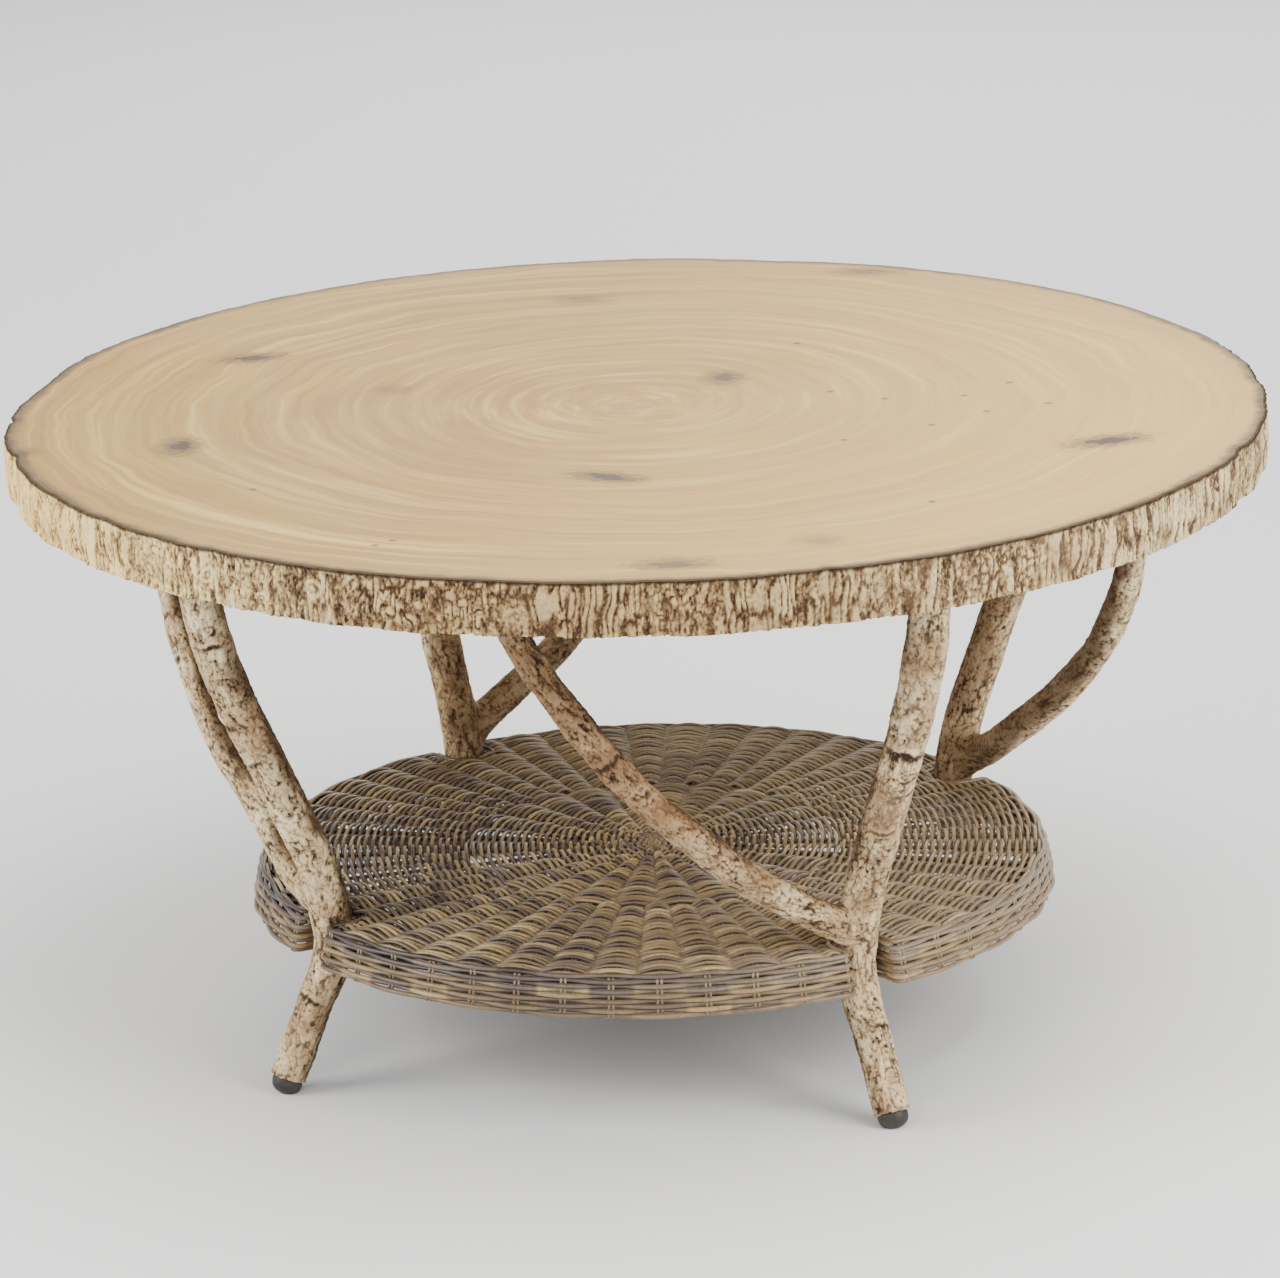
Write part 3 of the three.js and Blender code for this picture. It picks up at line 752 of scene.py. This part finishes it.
def leg_skin(paths, totals):
    """The stem and branch as one mesh, with the hollow of the fork filled."""
    points, faces, start = [], [], 0
    for path, total, radius in zip(paths, totals, (stem_radius, branch_radius)):
        rod = tube(path, radius(np.linspace(0, total, len(path)), total), 28, outward(path))
        points.append(rod[0])
        faces += [block + start for block in rod[1]]
        start += len(rod[0])
    mesh = remeshed(np.concatenate(points), faces)
    points = np.array([v.co for v in mesh.vertices])
    for _ in range(3):
        near, gaps = rods_near(points, paths, totals)
        overlap = np.clip(1 - np.abs(gaps[0] - gaps[1]) / FORK_BLEND, 0, 1)
        overlap *= np.clip((1 - (near[0][2] * near[1][2]).sum(1)) * 1.3, 0, 1)
        missing = overlap**2 * FORK_BLEND / 4 - np.minimum(*gaps)
        way = unit(near[0][2] + near[1][2])
        flat = np.maximum((near[0][2] * way).sum(1), 0.5)
        points += way * (np.clip(missing, 0, 4 * MM) / flat * (overlap > 0))[:, None]
    set_points(mesh, points)
    mesh.update()
    normals = np.zeros(len(points) * 3, np.float32)
    mesh.vertices.foreach_get("normal", normals)
    return mesh, points, normals.reshape(-1, 3)


def bark_relief(p, way, along):
    """Plates, creases, pits and grain of the bark, in millimetres, at points in millimetres."""
    grown = way * 15 + p * 0.12
    grown[:, 2] += along / MM * 0.34
    twist = np.stack([octaves(grown / 9, 2, seed) for seed in (48, 49, 50)], -1)
    grown = grown + twist * 1.6
    plates = octaves(grown / 6.5, 2, 52) * 0.55
    crease = -np.clip(0.20 - np.abs(noise(grown / 3.7 + 3, 53)), 0, 1) * 4.2
    crease += -np.clip(0.16 - np.abs(noise(p / (4.0, 4.0, 7.5) + 8, 58)), 0, 1) * 3.4
    pits = -np.clip(noise(p / 2.4, 54) - 0.3, 0, 1) * 1.7
    return plates + crease + pits + octaves(p / 2.6, 2, 55) * 0.26


def make_leg_mesh():
    """One branch casting in its leg's own plane, with its bark relief."""
    paths = leg_paths()
    totals = [lengths(path)[-1] for path in paths]
    mesh, points, normals = leg_skin(paths, totals)
    near, gaps = rods_near(points, paths, totals)
    on_branch = gaps[1] < gaps[0]
    way = np.where(on_branch[:, None], near[1][2], near[0][2])
    along = np.where(on_branch, near[1][1], near[0][1])
    p = points / MM
    relief = bark_relief(p, way, along)
    marks = np.zeros(len(points))
    rough = octaves(p / 3.1, 2, 59)
    angles = [side_angle(spot[2], path, spot[1]) for spot, path in zip(near, paths)]
    for which, share, depth, width, facing, spread in SCARS:
        angle = angles[which]
        away = turn_between(angle, facing)
        wobble = octaves(np.stack([angle / 30, np.full(len(p), share * 50), p[:, 0] * 0], -1), 3, 56)
        across = (near[which][1] - share * totals[which]) / MM - wobble * 3.0
        fade = np.clip(1.3 - np.abs(away) / spread, 0, 1) * (on_branch == bool(which))
        dent = np.exp(-((across / width) ** 2)) * fade * np.clip(0.75 + 0.8 * rough, 0, 1)
        lip = np.exp(-(((across - width * 1.8) / width) ** 2)) * fade
        relief += -dent * depth * 1.3 + lip * depth * 0.5
        marks = np.maximum(marks, dent)
    for which, share, facing, radius in KNOTS:
        rod_radius = (stem_radius, branch_radius)[which](near[which][1], totals[which])
        off = np.radians(turn_between(angles[which], facing)) * rod_radius / MM
        rise = (near[which][1] - share * totals[which]) / MM
        away = np.hypot(off, rise) * (1 + 0.3 * octaves(p / 4, 2, 57))
        share = np.exp(-((away / radius) ** 2)) * (on_branch == bool(which))
        relief += share * (0.7 + 1.6 * rough)
        marks = np.maximum(marks, share * np.clip(-2.2 * rough + 0.25, 0, 1))
    # How much each point faces the table's axis, with noise and more on the branch: it sets the legs'
    # painted shade.
    facing_in_shade = -(normals * outward(points)).sum(1) + 0.55 * octaves(p / 34, 2, 60)
    facing_in_shade += np.where(on_branch, 0.38 + 0.3 * normals[:, 2], 0)
    height = octaves(p / 38, 2, 51) * 1.0 + relief
    points += normals * (height * MM)[:, None]
    set_points(mesh, points)
    set_values(mesh, {"relief": relief, "marks": marks, "facing_in_shade": facing_in_shade})
    mesh.polygons.foreach_set("use_smooth", np.full(len(mesh.polygons), True))
    mesh.update()
    return mesh, paths[0]


def leg_material():
    n = Material("branch_bark", roughness=0.75, specular=0.3)
    place = n.place()
    relief = n.value("relief")
    speck = n.noise(place, 520, 4, 0.7)
    patch = n.noise(place, 38, 4, 0.6)
    level = n.math("ADD", relief, n.swing(speck, 1.8))
    level = n.math("ADD", level, n.swing(patch, -1.4))
    colour = n.ramp(
        n.range(level, -1.5, 0.9),
        [(0.06, (52, 40, 32)), (0.24, (100, 81, 63)), (0.40, (158, 134, 103)),
         (0.56, (204, 181, 142)), (0.85, (240, 224, 188))],
    )
    x, y, z = n.axes(place)
    # Painted shade: the legs are darker near the middle from left to right and higher up under the top,
    # less on the left.
    inner = n.range(n.math("ABSOLUTE", x), 0.16, 0.3, 0.9, 0.0)
    shaded = n.times(inner, n.range(z, 0.16, 0.3))
    shaded = n.times(shaded, n.range(x, -0.15, 0.0, 0.3, 1.0))
    # Painted shade on the sides of the legs that face in and along the branch, less towards the back.
    inward_shade = n.range(n.value("facing_in_shade"), -0.05, 0.65, 0.0, 0.9)
    inward_shade = n.times(inward_shade, n.range(y, 0.0, 0.2, 1.0, 0.62))
    colour = n.coats(
        colour,
        (n.range(n.noise(place, 24, 4, 0.6), 0.47, 0.66, 0.0, 0.5), (180, 149, 113)),
        (n.range(n.noise(place, 15, 3, 0.6), 0.48, 0.62, 0.0, 0.55), (178, 156, 136), "MULTIPLY"),
        (shaded, (172, 152, 134), "MULTIPLY"),
        (inward_shade, (112, 93, 76), "MULTIPLY"),
        (n.times(inward_shade, 0.3), (78, 62, 48)),
        (n.range(n.noise(place, 240, 2, 0.5), 0.66, 0.72, 0.0, 0.35), (52, 38, 30)),
        (n.times(n.value("marks"), 0.85), (48, 34, 26)),
    )
    return n.finish(colour, n.range(level, -1, 1, 0.9, 0.62), speck, 0.0012, 0.7)


def make_legs():
    """The same casting four times, each turned to its own corner. Gives the stem's centre line."""
    mesh, stem_path = make_leg_mesh()
    mesh.materials.append(leg_material())
    for side, angle in zip(LEG_SIDES, LEG_ANGLES):
        own = mesh.copy()
        own.transform(Matrix.Rotation(angle, 4, "Z"))
        piece = add_object(f"branch_leg_{side}", own)
        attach(piece, "root")
        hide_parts(f"leg_stem_{side}", f"leg_branch_{side}")
    return stem_path


# Glides ----------


# Half of the glide's outline: radius, and distance below the end of the stem's bark, in millimetres.
GLIDE_PROFILE = [
    (0.01, -3), (12.0, -3), (12.4, 0.4), (12.9, 1.2), (13.0, 2.6), (12.8, 5.2), (12.2, 7.6),
    (11.0, 9.8), (9.0, 11.7), (6.0, 13.1), (3.0, 13.9), (0.01, 14.2),
]
GLIDE_SIDES = 40


def glide_material():
    n = Material("glide_plastic", roughness=0.5)
    grain = n.noise(n.place(), 900, 3, 0.6)
    dust = n.noise(n.place(), 60, 3, 0.6)
    colour = n.mix(n.range(dust, 0.4, 0.7, 0, 0.5), (36, 33, 30), (70, 64, 56))
    return n.finish(colour, n.range(grain, 0.3, 0.7, 0.4, 0.6), grain, 0.0003, 0.4)


def make_glides(stem_path):
    """Domed glides that stand on the floor, in line with the foot of each stem."""
    axis = unit(stem_path[0] - stem_path[3])
    radius, down = np.array(GLIDE_PROFILE).T * MM
    path = stem_path[0] + axis * down[:, None]
    side = np.array([0.0, 1.0, 0.0])
    turn = full_turn(GLIDE_SIDES)[:, None]
    ring = np.cross(side, axis) * np.cos(turn) + side * np.sin(turn)
    points = (path[:, None] + ring * radius[:, None, None]).reshape(-1, 3)
    points[:, 2] = np.maximum(points[:, 2], 0)
    end = np.arange(GLIDE_SIDES)[None]
    faces = [grid_faces(len(path), GLIDE_SIDES), end[:, ::-1], (len(path) - 1) * GLIDE_SIDES + end]
    material = glide_material()
    for name, angle in zip(LEG_SIDES, LEG_ANGLES):
        own = turned(points, angle)
        make_piece(f"foot_glide_{name}", own, faces, material, [f"glide_{name}"])


# Shelf ----------

_, weave_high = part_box("shelf_weave")
band_low, band_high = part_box("shelf_band_weave")
SHELF_RADIUS = weave_high.x + 3 * MM
SHELF_SHIFT = (1.8 * MM, 0.4 * MM, 0)
BAND_RADIUS = SHELF_RADIUS + 3.5 * MM
NOTCH_HALF = 17.5 * MM
NOTCH_END = 298 * MM
NOTCH_CORNER = 6 * MM

# The face: rings of strand over and under stakes, with more stakes outside ZONE_CHANGE.
ROW_PITCH = 3.25 * MM
STRAND_RADIUS = 1.93 * MM
ROW_STEPS = 8
INNER_STAKES, OUTER_STAKES = 26, 52
INNER_START, ZONE_CHANGE = 26 * MM, 163 * MM
STAKE_RADIUS, STAKE_OFFSET = 1.3 * MM, 1.5 * MM
LIFT = 3.3 * MM
ARCH_UP, ARCH_DOWN = 1.6, 0.8
PUFF_ROWS = 8
WEAVE_MIDDLE = weave_high.z - LIFT * 1.3 - STRAND_RADIUS
NOTCH_DROP = 7 * MM
EYE_TURNS = 7

# The band under the face's edge.
BAND_STAKES = 60
BAND_STEPS = 10
BAND_PITCH = 3.95 * MM
BAND_LIFT = 1.6 * MM
BAND_STRAND_RADIUS = 2.25 * MM
BAND_SPREAD = 7 * MM
BAND_INSET = BAND_LIFT + BAND_STRAND_RADIUS
BAND_STAKE_RADIUS = 1.25 * MM
DARK_ROWS = 3


def notch_half_width(radius):
    """How far each side of a leg's plane the notch reaches at this radius."""
    middle = NOTCH_END + NOTCH_HALF
    if radius < NOTCH_END:
        return 0.0
    if radius < middle:
        return math.sqrt(max(0.0, NOTCH_HALF**2 - (middle - radius) ** 2))
    over = radius - (SHELF_RADIUS - NOTCH_CORNER)
    if over <= 0:
        return NOTCH_HALF
    return NOTCH_HALF + NOTCH_CORNER - math.sqrt(max(0.0, NOTCH_CORNER**2 - min(over, NOTCH_CORNER) ** 2))


def puff_phase(column, row):
    """Where a row is in its puff of rows, as an angle, staggered from stake to stake."""
    return 2 * np.pi * (row / PUFF_ROWS + 0.5 * (column % 2))


def arc_tone(column, row, place):
    """A tone between -1 and 1 that changes from stake to stake and in patches across the rows, with painted
    light and shade across each puff of rows: lighter at one edge, darker at the other.
    """
    rows = np.full(len(place), float(row))
    patch = noise(np.stack([column, rows * 0.17, np.full(len(place), 0.5)], -1), 81)
    own = noise(np.stack([column, rows, rows * 0], -1), 82)
    slow = noise(place / (90 * MM), 83)
    # Painted light and shade on each puff of rows, one edge lighter and the other darker.
    puff_shade = np.sin(puff_phase(column, row) + 0.6)
    return np.clip(0.45 * patch + 0.5 * own + 0.35 * slow - 0.38 * puff_shade + 0.05, -1, 1)


def add_row(bundle, radius, stakes, row):
    """One ring of strand, or the four stretches of it between the legs."""
    half = notch_half_width(radius + 1 * MM)
    closed = half == 0
    if closed:
        spans = [full_turn(stakes * ROW_STEPS)]
    else:
        cut = math.asin((half + 1.6 * MM) / radius)
        count = stakes * ROW_STEPS // 4
        spans = [np.linspace(leg + cut, leg + math.pi / 2 - cut, count) for leg in LEG_ANGLES]
    for angle in spans:
        circle = ring_points(angle, radius)
        drift = noise(circle / (55 * MM), 61) * 1.0 * MM
        drift += noise(circle / (14 * MM) + row * 3.1, 62) * 0.35 * MM
        wave = np.cos(angle * stakes / 2 + np.pi * row)
        column = np.round(angle * stakes / 2 / np.pi) % stakes
        rise = ARCH_UP * (0.78 + 0.26 * np.cos(puff_phase(column, row)))
        arch = wave * np.where(wave > 0, rise, ARCH_DOWN)
        lift = LIFT * arch + noise(circle / (25 * MM) + row * 1.7, 63) * 0.3 * MM
        if not closed:
            from_end = np.minimum(np.arange(count), np.arange(count)[::-1])
            near_end = np.clip(1 - from_end / 3, 0, 1)
            lift = lift * (1 - near_end) - near_end**2 * NOTCH_DROP
            drift = drift * (1 - near_end)
        path = ring_points(angle, radius + drift, WEAVE_MIDDLE + lift)
        thick = STRAND_RADIUS * (1 - 0.16 * wave + 0.08 * noise(circle / (30 * MM) + row * 5.3, 64))
        tone = arc_tone(column, row, circle)
        # The low value marks where the strand dips under, for the painted shade on it.
        bundle.rod(
            path, thick, closed=closed, squash=0.92,
            along=angle * radius, strand=row * 1.3, tone=tone, low=0.5 - 0.5 * wave,
        )


def add_stakes(bundle, stakes, start, end):
    """Pairs of straight stakes that the strands pass over and under."""
    for i, angle in enumerate(full_turn(stakes)):
        stop = end
        for leg in LEG_ANGLES:
            side = abs(math.sin(angle - leg)) * (NOTCH_END + 12 * MM)
            if math.cos(angle - leg) > 0 and side < NOTCH_HALF:
                stop = min(stop, NOTCH_END + NOTCH_HALF - math.sqrt(NOTCH_HALF**2 - side**2) - 1 * MM)
        reach = np.linspace(start, stop, 12)
        aside = ring_points(angle + np.pi / 2, 1)
        for offset in (-STAKE_OFFSET, STAKE_OFFSET):
            path = ring_points(angle, reach, WEAVE_MIDDLE) + offset * aside
            bundle.rod(path, STAKE_RADIUS, along=reach, strand=i * 1.7, tone=-0.2, low=0.5)


def shelf_outline(radius, inset, count):
    """The shelf's outline with its leg notches, inset from the radius, evenly sampled."""
    outer, half, end = radius - inset, NOTCH_HALF + inset, NOTCH_END - inset
    corner = math.asin((half + NOTCH_CORNER) / outer)
    edge = math.sqrt(outer**2 - half**2)
    rows = []
    for leg in LEG_ANGLES:
        arrive = np.array([outer * math.cos(corner), -outer * math.sin(corner)])
        bend, side = np.array([edge, -half]), np.array([edge - NOTCH_CORNER, -half])
        t = np.linspace(0, 1, 12)[:, None]
        rounded = arrive * (1 - t) ** 2 + 2 * bend * t * (1 - t) + side * t**2
        turn = np.linspace(-np.pi / 2, -1.5 * np.pi, 24)
        notch = ring_points(turn, half)[:, :2] + (end + half, 0)
        sweep = np.linspace(corner, math.pi / 2 - corner, 60)[1:-1]
        edge_points = ring_points(sweep, outer)[:, :2]
        local = np.concatenate([rounded, notch, rounded[::-1] * (1, -1), edge_points])
        c, s = math.cos(leg), math.sin(leg)
        rows.append(local @ np.array([[c, s], [-s, c]]))
    loop = np.concatenate([*rows, rows[0][:1]])
    length = lengths(loop)
    at = np.arange(count) / count * length[-1]
    return np.stack([np.interp(at, length, loop[:, k]) for k in range(2)], -1), length[-1]


def band_path(z, inset, count):
    """The band's outline at a height, the way out from it, and its length. It widens downwards."""
    flat, length = shelf_outline(BAND_RADIUS, inset, count)
    ahead = np.roll(flat, -1, 0) - np.roll(flat, 1, 0)
    out = unit(np.stack([ahead[:, 1], -ahead[:, 0]], -1))
    share = np.clip((band_high.z - z) / (band_high.z - band_low.z), 0, 1)
    return flat * (1 + share * BAND_SPREAD / BAND_RADIUS), out, length


def make_band(material):
    """The side weave: rows of strand along the notched outline, woven round upright stakes."""
    bundle = Bundle()
    count = BAND_STAKES * BAND_STEPS
    levels = np.arange(band_low.z + BAND_STRAND_RADIUS, weave_high.z - 4.2 * MM, BAND_PITCH)
    for row, z in enumerate(levels):
        edge = max(0.0, z - (weave_high.z - 9 * MM))
        flat, out, length = band_path(z, BAND_INSET + edge * 0.35, count)
        phase = np.arange(count) / count * BAND_STAKES
        wave = np.cos(np.pi * phase + np.pi * row)
        place = np.concatenate([flat / (22 * MM), np.full((count, 1), row * 3.3)], 1)
        away = BAND_LIFT * wave + noise(place, 71) * 0.3 * MM
        height = z + noise(place * 0.7 + 5, 72) * 0.35 * MM
        path = np.concatenate([flat + out * away[:, None], height[:, None]], 1)
        shade = -0.75 if row >= len(levels) - DARK_ROWS else 0.15
        tone = arc_tone(np.round(phase) % BAND_STAKES + 100, row, path) * 0.85 + shade
        bundle.rod(
            path, BAND_STRAND_RADIUS, closed=True, along=np.arange(count) / count * length,
            strand=row * 4.7, tone=np.clip(tone, -1, 1), low=0.35 - 0.35 * wave,
        )
    heights = np.linspace(band_low.z + 0.5 * MM, weave_high.z - 6 * MM, 8)
    outlines = [band_path(z, BAND_INSET, count)[0] for z in heights]
    for i in range(BAND_STAKES):
        for offset in (-0.045, 0.045):
            at = (i + offset) * BAND_STEPS
            before, share = int(at) % count, at - math.floor(at)
            path = np.array([
                (*(flat[before] * (1 - share) + flat[(before + 1) % count] * share), z)
                for flat, z in zip(outlines, heights)
            ])
            out = unit(path[0] * (1, 1, 0))
            bundle.rod(path, BAND_STAKE_RADIUS, out, along=heights, strand=i * 1.9, tone=0.25, low=0.0)
    bundle.piece("wicker_side_band", "wicker", material, ["shelf_band_weave"], SHELF_SHIFT)


def make_shelf_face(material):
    """The shelf's face: rings of strand, the stakes under them, and the coil in the middle."""
    bundle = Bundle()
    radius, row = INNER_START, 0
    while radius < SHELF_RADIUS - STRAND_RADIUS - 0.5 * MM:
        stakes = INNER_STAKES if radius < ZONE_CHANGE else OUTER_STAKES
        add_row(bundle, radius, stakes, row)
        radius += ROW_PITCH
        row += 1
    add_stakes(bundle, INNER_STAKES, 6 * MM, ZONE_CHANGE)
    add_stakes(bundle, OUTER_STAKES, ZONE_CHANGE, SHELF_RADIUS - 3 * MM)
    angle = full_turn(60)
    for turn in range(EYE_TURNS):
        reach = (4.5 + turn * 3.1) * MM
        wave = np.cos(angle * 6 + np.pi * turn) * LIFT * 0.7
        path = ring_points(angle, reach, WEAVE_MIDDLE + 0.6 * MM + wave)
        tone = 0.4 - turn * 0.15
        bundle.rod(
            path, STRAND_RADIUS, closed=True,
            along=angle * reach, strand=turn * 2.3, tone=tone, low=0.1,
        )
    bundle.piece("wicker_shelf_face", "wicker", material, ["shelf_weave"], SHELF_SHIFT)


def wicker_material():
    n = Material("wicker_strand", roughness=0.4, specular=0.65)
    place = n.place()
    along, strand = n.times(n.value("along"), 30.0), n.times(n.value("strand"), 7.7)
    own = n.noise(n.node("CombineXYZ", along, strand).outputs[0], 1.0, 3, 0.6)
    tone = n.math("ADD", n.value("tone"), n.swing(own, 1.1))
    colour = n.ramp(
        n.range(tone, -1.1, 1.1),
        [(0.06, (62, 53, 52)), (0.28, (98, 84, 80)), (0.42, (116, 100, 85)),
         (0.56, (134, 116, 88)), (0.74, (158, 138, 102)), (0.95, (190, 170, 130))],
    )
    x, y, z = n.axes(place)
    # Painted shade: the wicker is darker towards the bottom, beneath the shelf's face.
    low_shade = n.range(z, WEAVE_MIDDLE - 8 * MM, WEAVE_MIDDLE - 14 * MM, 0.0, 0.55)
    fibre = n.noise(place, 1500, 2, 0.5)
    colour = n.coats(
        colour,
        # Painted shade on the parts of each strand that dip under their neighbours.
        (n.range(n.value("low"), 0.28, 0.85, 0.0, 0.85), (46, 34, 27)),
        # Painted shade: the wicker is browner towards the back.
        (n.range(y, -0.05, 0.25, 0.0, 0.5), (92, 77, 62)),
        # Painted light: the wicker is lighter towards the right.
        (n.range(x, 0.0, 0.3, 0.0, 0.42), (200, 178, 148)),
        (low_shade, (202, 184, 156), "MULTIPLY"),
        (n.range(n.noise(place, 260, 3, 0.6), 0.5, 0.75, 0.0, 0.5), (60, 44, 38)),
        (n.range(fibre, 0.3, 0.8, 0.0, 0.2), (50, 38, 30)),
    )
    return n.finish(colour, n.range(fibre, 0.3, 0.7, 0.27, 0.42), fibre, 0.0004, 0.35)


# Frame and fasteners ----------


def metal_material():
    n = Material("powder_coat", roughness=0.55, metallic=0.1)
    grain = n.noise(n.place(), 1400, 3, 0.6)
    wear = n.noise(n.place(), 28, 4, 0.65)
    colour = n.mix(n.range(wear, 0.45, 0.7, 0, 0.5), (74, 62, 50), (98, 84, 68))
    return n.finish(colour, n.range(grain, 0.3, 0.7, 0.45, 0.65), grain, 0.0003, 0.5)


def screw_material():
    n = Material("stainless", roughness=0.3, metallic=1.0)
    brush = n.noise(n.stretch(n.place(), (300, 300, 2500)), 1.0, 3, 0.6)
    colour = n.mix(n.range(brush, 0.3, 0.7), (168, 168, 164), (206, 206, 202))
    return n.finish(colour, n.range(brush, 0.3, 0.7, 0.22, 0.4), brush, 0.0001, 0.3)


def finish_cad_nodes():
    """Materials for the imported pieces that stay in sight."""
    metal, screw = metal_material(), screw_material()
    slots = {row["node"]: row["material_slot"] for row in frame["record"]["subparts"]}
    for name, node in nodes.items():
        if slots[name] in ("frame_metal", "screw_metal"):
            node.data.materials.clear()
            node.data.materials.append(metal if slots[name] == "frame_metal" else screw)


# Studio ----------


FLOOR_HALF = 60
FLOOR_COLOUR = (0.86, 0.90, 0.97, 1)
WORLD_STRENGTH = 0.7
WARM = (1, 0.94, 0.83)
# Soft boxes: place and size in metres, and power in watts.
LIGHTS = {
    "left_box": ((-3.4, -1.8, 1.9), 2.2, 135),
    "right_box": ((3.4, -1.6, 2.2), 2.2, 150),
    "top_box": ((1.0, -0.4, 4.2), 3.2, 150),
    "front_box": ((-0.6, -4.6, 2.6), 2.4, 75),
    "back_box": ((-0.4, 4.2, 2.4), 3.0, 80),
}


def make_floor():
    mesh = bpy.data.meshes.new("floor")
    flat = [(x * FLOOR_HALF, y * FLOOR_HALF, 0) for x, y in ((-1, -1), (1, -1), (1, 1), (-1, 1))]
    mesh.from_pydata(flat, [], [(0, 1, 2, 3)])
    floor = add_object("floor", mesh)
    n = Material("floor", roughness=0.9)
    n.shader.inputs["Base Color"].default_value = FLOOR_COLOUR
    mesh.materials.append(n.material)


def add_light(name, place, size, power):
    data = bpy.data.lights.new(name, "AREA")
    data.size = size
    data.energy = power
    data.color = WARM
    lamp = add_object(name, data)
    lamp.location = place
    lamp.rotation_euler = (Vector((0, 0, 0.3)) - Vector(place)).to_track_quat("-Z", "Y").to_euler()


def make_studio():
    make_floor()
    world = bpy.data.worlds.new("studio")
    world.use_nodes = True
    world.node_tree.nodes["Background"].inputs["Color"].default_value = (1, 1, 1, 1)
    world.node_tree.nodes["Background"].inputs["Strength"].default_value = WORLD_STRENGTH
    bpy.context.scene.world = world
    for name, (place, size, power) in LIGHTS.items():
        add_light(name, place, size, power)


# Making ----------

make_camera()
make_studio()
make_face()
make_rim()
make_glides(make_legs())
wicker = wicker_material()
make_shelf_face(wicker)
make_band(wicker)
finish_cad_nodes()
